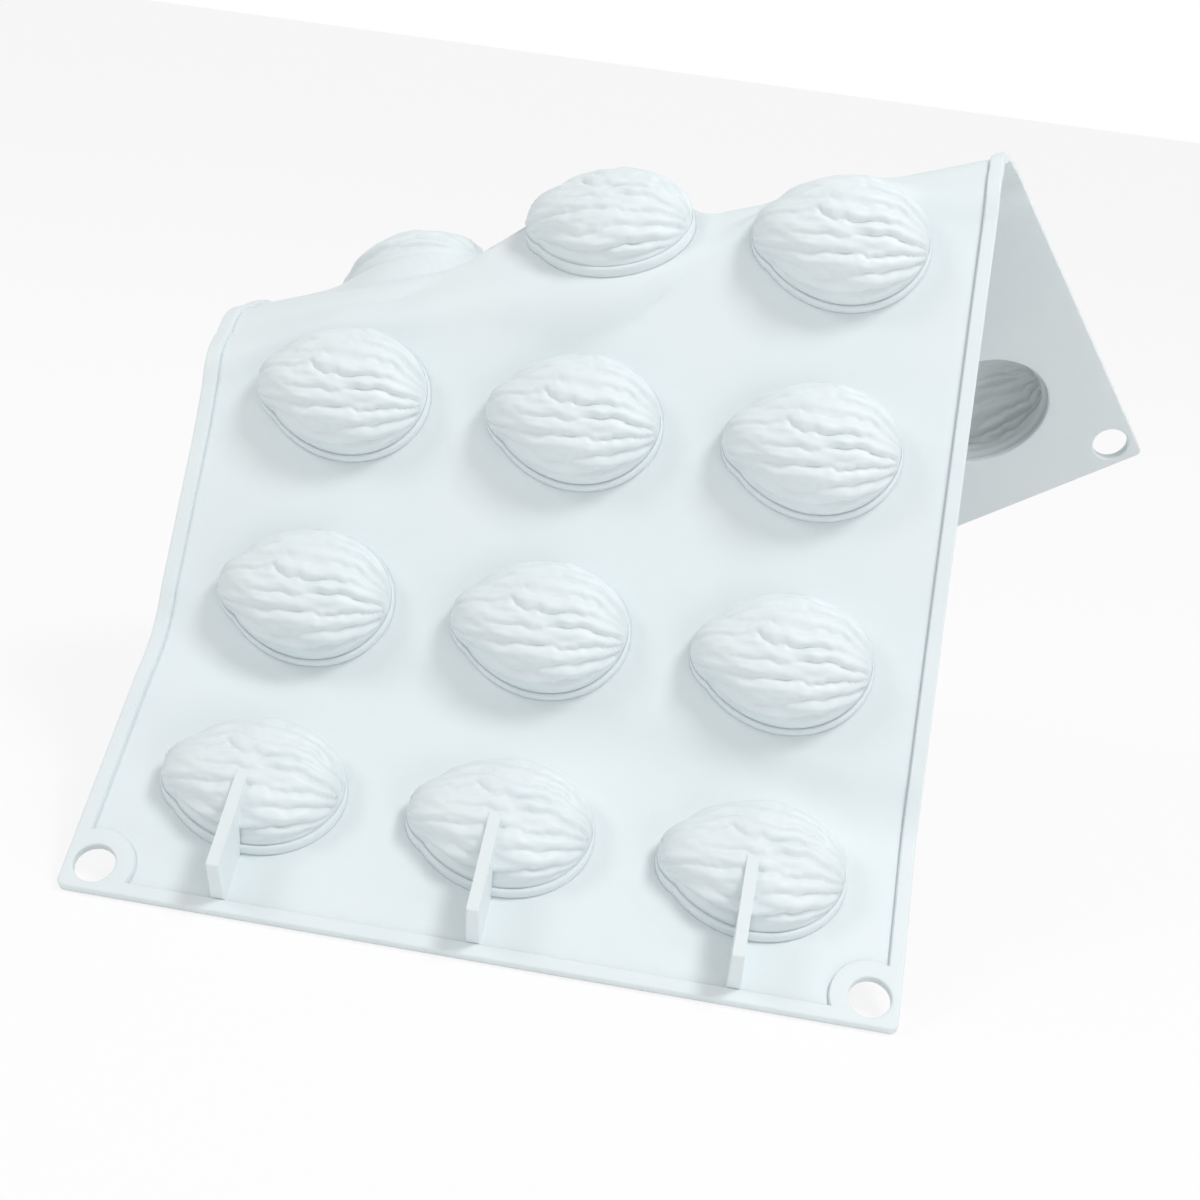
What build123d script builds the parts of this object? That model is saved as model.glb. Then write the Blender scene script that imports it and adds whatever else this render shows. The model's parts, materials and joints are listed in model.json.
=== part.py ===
from build123d import *

import os
from math import cos, hypot, pi, sin, sqrt

# Silicone baking mold with walnut-shaped cavities, folded over a slanting crest and standing on
# its front edge and one back corner. Millimetres, +Z up.
#
# The mold is drawn as it is moulded: flat, with u across the sheet (X), v along it (Y) and w out
# of its underside (Z), where the walnut cups stand proud. Web and rims are cut along the fold
# lines into slats, and each slat is then carried round the folds to its place in the rest pose.

# Sheet
SHEET_WIDTH = 175.0
SHEET_LENGTH = 300.0
WEB_THICKNESS = 1.5
RIM_WIDTH = 3.1
RIM_RISE = 1.0
RIM_BEVEL = 0.4

# Corner eyelets
EYELET_INSET = 6.3
EYELET_BOSS_RADIUS = 8.3
EYELET_HOLE_RADIUS = 4.4

# Walnut cups: pitches and the egg-shaped base, with its pointed tip towards -u
COLUMN_PITCH = 53.75
ROW_PITCH = 47.9
CUP_LENGTH = 40.4
CUP_WIDTH = 31.2
CUP_WIDEST_AT = 2.0
CUP_HEIGHT = 13.0
CUP_WALL = 1.2
SEAM_HEIGHT = 2.4
SEAM_STEP = 1.1
FLANK_FACETS = 5
ROUND_FACETS = 4

# Wrinkles of the dome: lengthwise ridges that meet at both ends, drawn on similar sections at
# these shares of the half length
RIDGES = 7
RIDGE_RISE = 0.9
DOME_FOOT = 0.3
DOME_STATIONS = (-0.94, -0.8, -0.55, -0.2, 0.15, 0.5, 0.74, 0.89, 0.97)
HOLLOW_FACETS = 8
HOLLOW_STATIONS = (-0.84, -0.58, -0.2, 0.2, 0.6, 0.84)

# Feet: upright plates between the outermost cups and the rims
FOOT_THICKNESS = 3.0
FOOT_START = 3.0
FOOT_SLANT = 4.5

# Fold lines: place on the left edge and on the right edge, counted in rows of cups, bend in the
# rest pose in degrees (positive bends the underside outwards) and height of the hinge in the wall
HINGE_INSIDE = -WEB_THICKNESS
HINGE_OUTSIDE = RIM_RISE
HINGE_MIDDLE = (RIM_RISE - WEB_THICKNESS) / 2
CREST_BEND = 33.5
FOLD_LINES = (
    (1.73, 1.29, -25.0, HINGE_OUTSIDE),
    (2.73, 2.32, -4.5, HINGE_MIDDLE),
    (3.10, 4.38, CREST_BEND, HINGE_INSIDE),
    (3.37, 4.53, CREST_BEND, HINGE_INSIDE),
    (3.63, 4.67, CREST_BEND, HINGE_INSIDE),
    (3.90, 4.82, CREST_BEND, HINGE_INSIDE),
    (5.61, 5.61, 1.0, HINGE_INSIDE),
)
FOLD_GAP = 0.4
CUP_CLEARANCE = 0.4

SLATS = ("row_1", "row_2", "row_3", "crest_front", "crest_top", "crest_back", "row_5", "row_6")
COLUMNS = ("left", "middle", "right")
ROWS = 6
SLAT_OF_ROW = {1: "row_1", 2: "row_2", 3: "row_3", 5: "row_5", 6: "row_6"}
SLAT_OF_ROW_4 = {"left": "crest_back", "middle": "crest_front", "right": "row_3"}

half_width = CUP_WIDTH / 2
tip_x = -CUP_LENGTH / 2
flank_run = CUP_WIDEST_AT - tip_x
flank_radius = (flank_run**2 + half_width**2) / (2 * half_width)
round_run = CUP_LENGTH / 2 - CUP_WIDEST_AT
first_row = (SHEET_LENGTH - (ROWS - 1) * ROW_PITCH) / 2
rim_height = WEB_THICKNESS + RIM_RISE
eyelet_reach = EYELET_INSET + sqrt(EYELET_BOSS_RADIUS**2 - (EYELET_INSET - RIM_WIDTH) ** 2)


def column_u(column):
    """Place across the sheet of a column of cups."""
    return SHEET_WIDTH / 2 + (COLUMNS.index(column) - 1) * COLUMN_PITCH


def row_v(row):
    """Place along the sheet of a row of cups, counted from 1, or of a fold line between rows."""
    return first_row + (row - 1) * ROW_PITCH


def cup_slat(row, column):
    """Slat that carries the cup of a row and column."""
    return SLAT_OF_ROW_4[column] if row == 4 else SLAT_OF_ROW[row]


def egg_half_width(x):
    """Half width of a cup's base at x on its long axis: two flat arcs to the tip, a round end."""
    run = x - CUP_WIDEST_AT
    if run < 0:
        return half_width - flank_radius + sqrt(flank_radius**2 - run**2)
    return half_width * sqrt(1 - (run / round_run) ** 2)


def egg(growth=0.0):
    """Base outline of a cup about the origin, grown outwards by a margin."""
    flank = [tip_x + flank_run * sin(pi / 2 * i / FLANK_FACETS) for i in range(FLANK_FACETS)]
    nose = [CUP_WIDEST_AT + round_run * sin(pi / 2 * i / ROUND_FACETS) for i in range(ROUND_FACETS + 1)]
    upper = [(x, max(egg_half_width(x), 0)) for x in flank + nose]
    lower = [(x, -y) for x, y in reversed(upper[1:-1])]
    with BuildSketch() as outline:
        with BuildLine():
            Polyline(*upper, *lower, close=True)
        make_face()
        if growth:
            offset(amount=growth, kind=Kind.INTERSECTION)
    return outline.sketch


def dome_section(share, inset, facets, swell):
    """Corners of the dome's section at a share of its half length, inset from its outside.

    Every second corner is raised by swell. All sections are one outline at another scale, so the
    facets between two of them are flat.
    """
    x = share * CUP_LENGTH / 2
    scale = (egg_half_width(x) - SEAM_STEP - inset) / (half_width - SEAM_STEP - inset)
    corners = []
    for i in range(facets + 1):
        size = scale * (swell if i % 2 else 1.0)
        y = size * (half_width - SEAM_STEP - inset) * cos(pi * i / facets)
        z = size * (CUP_HEIGHT - DOME_FOOT - inset) * sin(pi * i / facets)
        corners.append((x, y, DOME_FOOT + z))
    return corners


def faceted_loft(sections):
    """Solid with flat facets between sections of equally many corners, closed at both ends."""
    faces = [Face(Wire.make_polygon(sections[0])), Face(Wire.make_polygon(sections[-1]))]
    for near, far in zip(sections, sections[1:]):
        for i in range(len(near)):
            j = (i + 1) % len(near)
            faces.append(Face(Wire.make_polygon([near[i], near[j], far[j], far[i]])))
    return Solid(Shell(faces))


# One walnut cup: the moulded form, then the same with its cavity
with BuildPart() as walnut_form:
    with BuildSketch():
        add(egg())
    extrude(amount=SEAM_HEIGHT)
    wrinkle_swell = 1 + RIDGE_RISE / half_width
    add(faceted_loft([dome_section(s, 0, 2 * RIDGES, wrinkle_swell) for s in DOME_STATIONS]))

with BuildPart() as walnut:
    add(walnut_form.part)
    with BuildSketch():
        add(egg(-CUP_WALL))
    extrude(amount=SEAM_HEIGHT - CUP_WALL, mode=Mode.SUBTRACT)
    hollow = faceted_loft([dome_section(s, CUP_WALL, HOLLOW_FACETS, 1) for s in HOLLOW_STATIONS])
    add(hollow, mode=Mode.SUBTRACT)

# One foot at the front edge, beside the cup that it stiffens, with the cup's centre as origin
rim_from_cup = RIM_WIDTH - first_row
with BuildPart() as foot:
    with BuildSketch(Plane.YZ):
        with BuildLine():
            Polyline(
                (-FOOT_START, 0),
                (-FOOT_START, CUP_HEIGHT),
                (rim_from_cup + FOOT_SLANT, CUP_HEIGHT),
                (rim_from_cup, RIM_RISE),
                (rim_from_cup, 0),
                close=True,
            )
        make_face()
    extrude(amount=FOOT_THICKNESS / 2, both=True)
    add(walnut_form.part, mode=Mode.SUBTRACT)

# One corner eyelet, at the corner that is the origin
with BuildPart() as eyelet:
    with BuildSketch(Plane.XY.offset(-WEB_THICKNESS)):
        with Locations((EYELET_INSET, EYELET_INSET)):
            Circle(EYELET_BOSS_RADIUS)
        Rectangle(eyelet_reach, RIM_WIDTH, align=(Align.MIN, Align.MIN))
        Rectangle(RIM_WIDTH, eyelet_reach, align=(Align.MIN, Align.MIN))
        boss_reach = EYELET_INSET + EYELET_BOSS_RADIUS
        Rectangle(boss_reach, boss_reach, align=(Align.MIN, Align.MIN), mode=Mode.INTERSECT)
        with Locations((EYELET_INSET, EYELET_INSET)):
            Circle(EYELET_HOLE_RADIUS, mode=Mode.SUBTRACT)
    extrude(amount=rim_height)

# One rim along an end, between two eyelets
with BuildPart() as end_rim:
    with BuildSketch(Plane.XY.offset(-WEB_THICKNESS)):
        with Locations((eyelet_reach, 0)):
            Rectangle(SHEET_WIDTH - 2 * eyelet_reach, RIM_WIDTH, align=(Align.MIN, Align.MIN))
    extrude(amount=rim_height)
    chamfer(end_rim.edges().filter_by(Axis.X).group_by(Axis.Z)[-1].sort_by(Axis.Y)[-1], RIM_BEVEL)


def slat_ends(index, u, near_end=0.0, far_end=SHEET_LENGTH):
    """Where slat number index begins and ends at u, cut back from its fold lines."""
    ends = []
    for line, side, edge in ((index - 1, 1, near_end), (index, -1, far_end)):
        if 0 <= line < len(FOLD_LINES):
            left, right = (row_v(row) for row in FOLD_LINES[line][:2])
            slope = (right - left) / SHEET_WIDTH
            ends.append(left + slope * u + side * FOLD_GAP / 2 * hypot(1, slope))
        else:
            ends.append(edge)
    return ends


def slat_strip(index, u_from, u_to, near_end, far_end):
    """Outline of slat number index between two places across the sheet."""
    near_from, far_from = slat_ends(index, u_from, near_end, far_end)
    near_to, far_to = slat_ends(index, u_to, near_end, far_end)
    with BuildSketch() as strip:
        with BuildLine():
            Polyline((u_from, near_from), (u_to, near_to), (u_to, far_to), (u_from, far_from), close=True)
        make_face()
    return strip.sketch


def side_rim(index, side):
    """Rim of slat number index on its left or right side, bevelled along its inner edge."""
    u_from = 0 if side == "left" else SHEET_WIDTH - RIM_WIDTH
    with BuildPart() as rim:
        with BuildSketch(Plane.XY.offset(-WEB_THICKNESS)):
            add(slat_strip(index, u_from, u_from + RIM_WIDTH, eyelet_reach, SHEET_LENGTH - eyelet_reach))
        extrude(amount=rim_height)
        top_edges = rim.edges().filter_by(Axis.Y).group_by(Axis.Z)[-1].sort_by(Axis.X)
        chamfer(top_edges[-1] if side == "left" else top_edges[0], RIM_BEVEL)
    return rim.part


def web(index):
    """Web of slat number index: its strip with the ground of its own cups, open at each mouth."""
    cups = [(row, column) for row in range(1, ROWS + 1) for column in COLUMNS]
    own = [(column_u(c), row_v(r)) for r, c in cups if cup_slat(r, c) == SLATS[index]]
    others = [(column_u(c), row_v(r)) for r, c in cups if cup_slat(r, c) != SLATS[index]]
    inset = EYELET_INSET
    with BuildPart() as panel:
        with BuildSketch(Plane.XY.offset(-WEB_THICKNESS)):
            add(slat_strip(index, RIM_WIDTH, SHEET_WIDTH - RIM_WIDTH, RIM_WIDTH, SHEET_LENGTH - RIM_WIDTH))
            with Locations(*[(u, v) for u in (inset, SHEET_WIDTH - inset) for v in (inset, SHEET_LENGTH - inset)]):
                Circle(EYELET_BOSS_RADIUS, mode=Mode.SUBTRACT)
            with Locations(*others):
                add(egg(CUP_CLEARANCE), mode=Mode.SUBTRACT)
            if own:
                with Locations(*own):
                    add(egg())
                with Locations(*own):
                    add(egg(-CUP_WALL), mode=Mode.SUBTRACT)
        extrude(amount=WEB_THICKNESS)
    return panel.part


# The flat pieces, each with the slat that carries it
pieces = []
for index, slat in enumerate(SLATS):
    panels = web(index).solids().sort_by(Axis.X)
    endings = {1: ("",), 2: ("_left", "_right"), 3: ("_left", "_middle", "_right")}[len(panels)]
    for panel, ending in zip(panels, endings, strict=True):
        pieces.append(("web_" + slat + ending, panel, slat))
    for side in ("left", "right"):
        pieces.append(("rim_" + side + "_" + slat, side_rim(index, side), slat))

turned_round = Location((SHEET_WIDTH, SHEET_LENGTH, 0), (0, 0, 180))
pieces.append(("rim_front", end_rim.part, SLATS[0]))
pieces.append(("rim_back", end_rim.part.moved(turned_round), SLATS[-1]))
pieces.append(("eyelet_front_left", eyelet.part, SLATS[0]))
pieces.append(("eyelet_front_right", eyelet.part.moved(Location((SHEET_WIDTH, 0, 0), (0, 0, 90))), SLATS[0]))
pieces.append(("eyelet_back_right", eyelet.part.moved(turned_round), SLATS[-1]))
pieces.append(("eyelet_back_left", eyelet.part.moved(Location((0, SHEET_LENGTH, 0), (0, 0, 270))), SLATS[-1]))

for column in COLUMNS:
    for row in range(1, ROWS + 1):
        place = Location((column_u(column), row_v(row), 0))
        pieces.append((f"walnut_cup_row_{row}_{column}", walnut.part.moved(place), cup_slat(row, column)))
    front = Location((column_u(column), row_v(1), 0))
    back = Location((column_u(column), row_v(ROWS), 0))
    pieces.append((f"foot_front_{column}", foot.part.moved(front), SLATS[0]))
    pieces.append((f"foot_back_{column}", foot.part.mirror(Plane.XZ).moved(back), SLATS[-1]))

# Rest pose: every slat turned about the fold lines before it
slat_place = {SLATS[0]: Location()}
for index, (left_row, right_row, bend, height) in enumerate(FOLD_LINES):
    left, right = row_v(left_row), row_v(right_row)
    fold = Plane(origin=(0, left, height), x_dir=(SHEET_WIDTH, right - left, 0), z_dir=(0, 0, 1)).location
    turn = fold * Location((0, 0, 0), (-bend, 0, 0)) * fold.inverse()
    slat_place[SLATS[index + 1]] = slat_place[SLATS[index]] * turn

# The floor touches the inner edge of the front end and the back left corner
front_left = Vector(0, 0, -WEB_THICKNESS)
front_edge = Vector(SHEET_WIDTH, 0, 0)
back_left = (slat_place[SLATS[-1]] * Location((0, SHEET_LENGTH, -WEB_THICKNESS))).position
floor = Plane(origin=front_left, x_dir=front_edge, z_dir=front_edge.cross(back_left - front_left))
on_floor = floor.location.inverse()

standing = Compound([piece.moved(on_floor * slat_place[slat]) for name, piece, slat in pieces])
box = standing.bounding_box()
centred = Location((-(box.min.X + box.max.X) / 2, -(box.min.Y + box.max.Y) / 2, -box.min.Z))

os.makedirs("parts", exist_ok=True)
for name, piece, slat in pieces:
    with BuildPart() as placed:
        add(piece.moved(centred * on_floor * slat_place[slat]))
    placed.part.label = name
    export_step(placed.part, f"parts/{name}.step")
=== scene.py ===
import json
import logging
import math
from dataclasses import dataclass, field
from enum import Enum
from typing import Iterable, Sequence

import bpy
import bmesh
import numpy as np
from mathutils import Matrix, Vector
from mathutils.geometry import delaunay_2d_cdt


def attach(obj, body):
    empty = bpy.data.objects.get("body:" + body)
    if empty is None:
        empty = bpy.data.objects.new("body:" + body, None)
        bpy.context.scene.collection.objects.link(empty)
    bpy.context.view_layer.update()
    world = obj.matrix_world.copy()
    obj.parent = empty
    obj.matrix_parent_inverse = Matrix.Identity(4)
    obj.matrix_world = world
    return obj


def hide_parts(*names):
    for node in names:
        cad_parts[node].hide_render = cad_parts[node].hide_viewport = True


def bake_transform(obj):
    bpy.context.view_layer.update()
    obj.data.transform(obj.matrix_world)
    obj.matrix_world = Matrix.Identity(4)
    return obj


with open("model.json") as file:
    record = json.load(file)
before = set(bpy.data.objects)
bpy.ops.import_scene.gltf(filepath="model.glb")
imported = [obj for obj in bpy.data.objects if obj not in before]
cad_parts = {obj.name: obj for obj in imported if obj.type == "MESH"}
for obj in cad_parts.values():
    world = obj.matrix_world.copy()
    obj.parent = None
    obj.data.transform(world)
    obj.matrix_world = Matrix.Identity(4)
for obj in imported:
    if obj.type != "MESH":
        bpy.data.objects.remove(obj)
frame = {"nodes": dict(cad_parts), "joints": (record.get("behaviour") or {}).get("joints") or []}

# Looks of the silicone walnut mold. The sheet is drawn flat in millimetres, with u across it, v along
# it and w out of its underside, as in the CAD source. Every shape is then carried round the fold
# lines to the rest pose. Blender works in metres.

LOG = logging.getLogger("walnut_mold")
MM = 0.001
ROWS = 6


class Column(Enum):
    """Columns of walnut cups, counted across the sheet."""

    LEFT = 0
    MIDDLE = 1
    RIGHT = 2

    @property
    def word(self) -> str:
        """Name of the column as the CAD nodes spell it."""
        return self.name.lower()


class Zone(Enum):
    """Moulded features that the rigid parts of the sheet are divided into."""

    WEB = "web"
    RIM_LEFT = "rim_left"
    RIM_RIGHT = "rim_right"
    RIM_FRONT = "rim_front"
    RIM_BACK = "rim_back"
    EYELET_FRONT_LEFT = "eyelet_front_left"
    EYELET_FRONT_RIGHT = "eyelet_front_right"
    EYELET_BACK_LEFT = "eyelet_back_left"
    EYELET_BACK_RIGHT = "eyelet_back_right"


@dataclass(frozen=True)
class FoldLine:
    """One fold of the sheet.

    Attributes:
        left_row: place on the left edge, counted in rows of cups.
        right_row: place on the right edge, counted in rows of cups.
        bend: bend in the rest pose in degrees, positive where the underside turns outwards.
        height: height of the hinge in the wall.
        reach: how far the soft bend spreads to each side of the line.
        cuts: places across the sheet where the bend's strip is divided.
    """

    left_row: float
    right_row: float
    bend: float
    height: float
    reach: float
    cuts: tuple[float, ...]


WIDE_CUTS = (0.0, 59.5, 115.5, 175.0)
CREST_CUTS = (0.0, 14.0, 26.25, 40.25, 50.75, 59.5, 68.25, 78.75, 96.25, 105.0, 113.75, 122.5, 133.0,
              150.5, 161.0, 175.0)
FOLDS = (
    FoldLine(1.73, 1.29, -25.0, 1.0, 11.0, WIDE_CUTS),
    FoldLine(2.73, 2.32, -4.5, -0.25, 11.0, WIDE_CUTS),
    FoldLine(3.10, 4.38, 33.5, -1.5, 7.0, CREST_CUTS),
    FoldLine(3.37, 4.53, 33.5, -1.5, 7.0, CREST_CUTS),
    FoldLine(3.63, 4.67, 33.5, -1.5, 7.0, CREST_CUTS),
    FoldLine(3.90, 4.82, 33.5, -1.5, 7.0, CREST_CUTS),
    FoldLine(5.61, 5.61, 1.0, -1.5, 11.0, WIDE_CUTS),
)
BODIES = ("row_1", "row_2", "row_3", "crest_front", "crest_top", "crest_back", "row_5", "row_6")


@dataclass(frozen=True)
class EggOutline:
    """Base outline of a walnut cup: two flat arcs to the blunt tip at -x, and a round end."""

    length: float = 40.4
    width: float = 31.2
    widest_at: float = 2.0
    tip_radius: float = 9.0
    fine_steps: int = 1201

    def half_width(self, x: np.ndarray) -> np.ndarray:
        """Half width of the outline.

        Args:
            x: places on the long axis, counted from the cup's centre.

        Returns:
            The half width at each place, 0 outside the outline.
        """
        half = self.width / 2
        flank_run = self.widest_at + self.length / 2
        flank_radius = (flank_run**2 + half**2) / (2 * half)
        round_run = self.length / 2 - self.widest_at
        run = np.asarray(x, float) - self.widest_at
        flank = half - flank_radius + np.sqrt(np.maximum(flank_radius**2 - run**2, 0))
        nose = half * np.sqrt(np.maximum(1 - (run / round_run) ** 2, 0))
        past_tip = np.asarray(x, float) + self.length / 2
        tip = np.sqrt(np.maximum(2 * self.tip_radius * past_tip - past_tip**2, 0))
        flank = np.where(past_tip < self.tip_radius, np.maximum(flank, tip), flank)
        return np.maximum(np.where(run < 0, flank, nose), 0)

    def ring(self, count: int, inset: float = 0.0) -> np.ndarray:
        """Evenly spaced points round the outline, counter-clockwise from the tip.

        Args:
            count: number of points.
            inset: how far inside the outline they lie; negative is outside.

        Returns:
            An array of (x, y) places.
        """
        turn = np.linspace(0, math.pi, self.fine_steps)
        x = -self.length / 2 * np.cos(turn)
        y = -self.half_width(x)
        run = np.concatenate([[0], np.cumsum(np.hypot(np.diff(x), np.diff(y)))])
        steps = np.linspace(0, run[-1], count // 2 + 1)
        lower = np.stack([np.interp(steps, run, x), np.interp(steps, run, y)], 1)
        points = np.vstack([lower, (lower * (1, -1))[-2:0:-1]])
        along = np.roll(points, -1, 0) - np.roll(points, 1, 0)
        outward = np.stack([along[:, 1], -along[:, 0]], 1)
        outward /= np.linalg.norm(outward, axis=1)[:, None]
        return points - outward * inset


def smooth(share: np.ndarray) -> np.ndarray:
    """Smooth rise from 0 to 1 as share goes from 0 to 1."""
    t = np.clip(share, 0, 1)
    return t * t * (3 - 2 * t)


@dataclass
class FoldMap:
    """Where the flat sheet goes in the rest pose.

    Cups and their ground stay rigid on the CAD slat that carries them. Each fold line bends the
    sheet softly inside a strip that keeps clear of the cups.

    Attributes:
        clearance: least gap from a cup's outline to a strip.
        strip_slope: steepest run of a strip's limit beside a cup.
        narrowest_strip: least gap from one strip's limit to the next.
        wanted_strip: width that squeezed strips grow to where there is room.
        evenness: share of a bend that is spread evenly over its strip.
        straight_run: samples to each side that an edge takes its farthest offset from.
        ease_reach: samples to each side that an edge is averaged over.
        ease_spread: spread of that average, in samples.
        normal_step: step that finds the folded sheet's normal.
        row_4_bodies: CAD bodies that carry the cups of row 4, from left to right.
        places: matrix of each slat, worked out from the fold lines.
    """

    width: float = 175.0
    length: float = 300.0
    column_pitch: float = 53.75
    row_pitch: float = 47.9
    egg: EggOutline = EggOutline()
    clearance: float = 0.7
    strip_slope: float = 1.15
    narrowest_strip: float = 3.0
    wanted_strip: float = 12.0
    evenness: float = 0.5
    straight_run: int = 6
    ease_reach: int = 5
    ease_spread: float = 2.2
    sample_step: float = 1.75
    normal_step: float = 0.05
    least_width: float = 1e-6
    row_4_bodies: tuple[str, str, str] = ("crest_back", "crest_front", "row_3")
    places: list[np.ndarray] = field(default_factory=list)

    def __post_init__(self) -> None:
        """Works out the slats' places and the edges of the bending strips."""
        self.samples = np.linspace(0, self.width, round(self.width / self.sample_step) + 1)
        self.to_world = np.eye(4)
        self.places = self.flat_chain()
        self.to_world = self.fit_to_joints()
        self.places = [self.to_world @ place for place in self.places]
        self.near_edges, self.far_edges = self.strips()

    def column_u(self, column: Column) -> float:
        """Place of a column of cups across the sheet."""
        return self.width / 2 + (column.value - 1) * self.column_pitch

    def row_v(self, row: float) -> float:
        """Place of a row of cups along the sheet, counted from 1."""
        return (self.length - (ROWS - 1) * self.row_pitch) / 2 + (row - 1) * self.row_pitch

    def cups(self) -> list[tuple[int, Column, float, float]]:
        """Row, column and centre of every cup, row by row."""
        return [(row, column, self.column_u(column), self.row_v(row))
                for row in range(1, ROWS + 1) for column in Column]

    def body_of_cup(self, row: int, column: Column) -> str:
        """CAD body that carries the cup of a row and column."""
        return self.row_4_bodies[column.value] if row == 4 else f"row_{row}"

    def hinge(self, line: FoldLine) -> tuple[np.ndarray, np.ndarray]:
        """A point on a fold line of the flat sheet, and its direction.

        Args:
            line: the fold.

        Returns:
            The line's point on the left edge, and a unit vector along it.
        """
        left, right = self.row_v(line.left_row), self.row_v(line.right_row)
        direction = np.array([self.width, right - left, 0.0])
        return np.array([0.0, left, line.height]), direction / np.linalg.norm(direction)

    def flat_chain(self) -> list[np.ndarray]:
        """Places of the slats with the first one lying flat.

        Returns:
            One 4 x 4 matrix per slat, in millimetres.
        """
        places = [np.eye(4)]
        for line in FOLDS:
            point, direction = self.hinge(line)
            turn = Matrix.Rotation(math.radians(-line.bend), 4, Vector(direction))
            shift = Matrix.Translation(Vector(point))
            places.append(places[-1] @ np.array(shift @ turn @ shift.inverted()))
        return places

    def fit_to_joints(self) -> np.ndarray:
        """Turn and shift, in millimetres, that bring the hinges to the joints of the CAD frame.

        Returns:
            A 4 x 4 matrix.
        """
        flat, world = [], []
        for index, (line, joint) in enumerate(zip(FOLDS, frame["joints"], strict=True)):
            point, _ = self.hinge(line)
            middle_v = self.row_v((line.left_row + line.right_row) / 2)
            middle = np.array([self.width / 2, middle_v, point[2], 1.0])
            flat.append((self.places[index] @ middle)[:3])
            world.append(np.array(joint["pos_m"]) / MM)
        flat, world = np.array(flat), np.array(world)
        spread = (flat - flat.mean(0)).T @ (world - world.mean(0))
        left, _, right = np.linalg.svd(spread)
        turned = np.sign(np.linalg.det(right.T @ left.T))
        turn = right.T @ np.diag([1, 1, turned]) @ left.T
        fit = np.eye(4)
        fit[:3, :3] = turn
        fit[:3, 3] = world.mean(0) - turn @ flat.mean(0)
        worst = np.abs((turn @ flat.T).T + fit[:3, 3] - world).max()
        LOG.info("fold map meets the CAD joints within %.4f mm", worst)
        return fit

    def line_v(self, line: FoldLine, u: np.ndarray) -> np.ndarray:
        """Place of a fold line along the sheet at each place across it.

        Args:
            line: the fold.
            u: places across the sheet.

        Returns:
            A place along the sheet for each.
        """
        left, right = self.row_v(line.left_row), self.row_v(line.right_row)
        return left + (right - left) * np.asarray(u) / self.width

    def limits(self, index: int) -> tuple[np.ndarray, np.ndarray]:
        """Lowest start and highest end that a fold's strip may have beside the cups.

        Args:
            index: number of the fold, which joins slat index to slat index + 1.

        Returns:
            Two arrays over the samples across the sheet.
        """
        lowest = np.full_like(self.samples, -math.inf)
        highest = np.full_like(self.samples, math.inf)
        for row, column, cup_u, cup_v in self.cups():
            x = self.samples - cup_u
            under = np.abs(x) < self.egg.length / 2
            half = self.egg.half_width(x) + self.clearance
            slope = self.strip_slope * np.abs(self.samples[:, None] - self.samples[None, under])
            if BODIES.index(self.body_of_cup(row, column)) <= index:
                far = cup_v + half[under]
                lowest = np.maximum(lowest, (far[None, :] - slope).max(1))
            else:
                near = cup_v - half[under]
                highest = np.minimum(highest, (near[None, :] + slope).min(1))
        return lowest, highest

    def strips(self) -> tuple[np.ndarray, np.ndarray]:
        """Near and far edges of all bending strips, over the samples across the sheet.

        Returns:
            Two arrays with one row per fold.
        """
        least = self.narrowest_strip
        bounds = [self.limits(index) for index in range(len(FOLDS))]
        lows = np.array([low for low, _ in bounds])
        highs = np.array([high for _, high in bounds])
        for index in range(1, len(FOLDS)):
            lows[index] = np.maximum(lows[index], lows[index - 1] + least)
            highs[-index - 1] = np.minimum(highs[-index - 1], highs[-index] - least)
        lines = np.array([self.line_v(line, self.samples) for line in FOLDS])
        middles = np.clip(lines, lows + least / 2, highs - least / 2)
        for index in range(1, len(FOLDS)):
            middles[index] = np.maximum(middles[index], middles[index - 1] + least)
        near, far = np.empty_like(middles), np.empty_like(middles)
        for index, line in enumerate(FOLDS):
            near[index] = middles[index] - line.reach
            far[index] = middles[index] + line.reach
        for index in range(len(FOLDS) - 1):
            between = (middles[index] + middles[index + 1]) / 2
            between = np.clip(between, lows[index + 1], highs[index])
            far[index] = np.minimum(far[index], between)
            near[index + 1] = np.maximum(near[index + 1], between)
        self.widen(near, far, lows, highs)
        straight = self.straightened(near - lines, -1)[1:] + lines[1:]
        near[1:] = np.maximum(np.maximum(straight, lows[1:]), far[:-1])
        straight = self.straightened(far - lines, 1)[:-1] + lines[:-1]
        far[:-1] = np.minimum(np.minimum(straight, highs[:-1]), near[1:])
        near, far = self.eased(near), self.eased(far)
        return np.maximum(near, lows), np.minimum(far, highs)

    def widen(self, near: np.ndarray, far: np.ndarray, lows: np.ndarray, highs: np.ndarray) -> None:
        """Widens strips that a cup has squeezed, where there is room on their other side.

        Args:
            near: near edges, changed in place.
            far: far edges, changed in place.
            lows: lowest start of each strip.
            highs: highest end of each strip.
        """
        last = len(FOLDS) - 1
        for index in range(len(FOLDS)):
            room_far = highs[index] if index == last else np.minimum(near[index + 1], highs[index])
            room_near = lows[index] if index == 0 else np.maximum(far[index - 1], lows[index])
            short = np.maximum(self.wanted_strip - (far[index] - near[index]), 0)
            grow = np.clip(room_far - far[index], 0, short)
            far[index] += grow
            near[index] -= np.clip(near[index] - room_near, 0, short - grow)

    def straightened(self, offsets: np.ndarray, side: int) -> np.ndarray:
        """Offsets of strip edges from their fold lines, each grown to the farthest of its neighbours.

        Args:
            offsets: offsets of the edges, one row per fold.
            side: 1 for edges past the fold lines and -1 for edges before them.

        Returns:
            The grown offsets.
        """
        reach = self.straight_run
        padded = np.pad(offsets * side, ((0, 0), (reach, reach)), mode="edge")
        count = offsets.shape[1]
        return side * np.max([padded[:, i:i + count] for i in range(2 * reach + 1)], axis=0)

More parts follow.
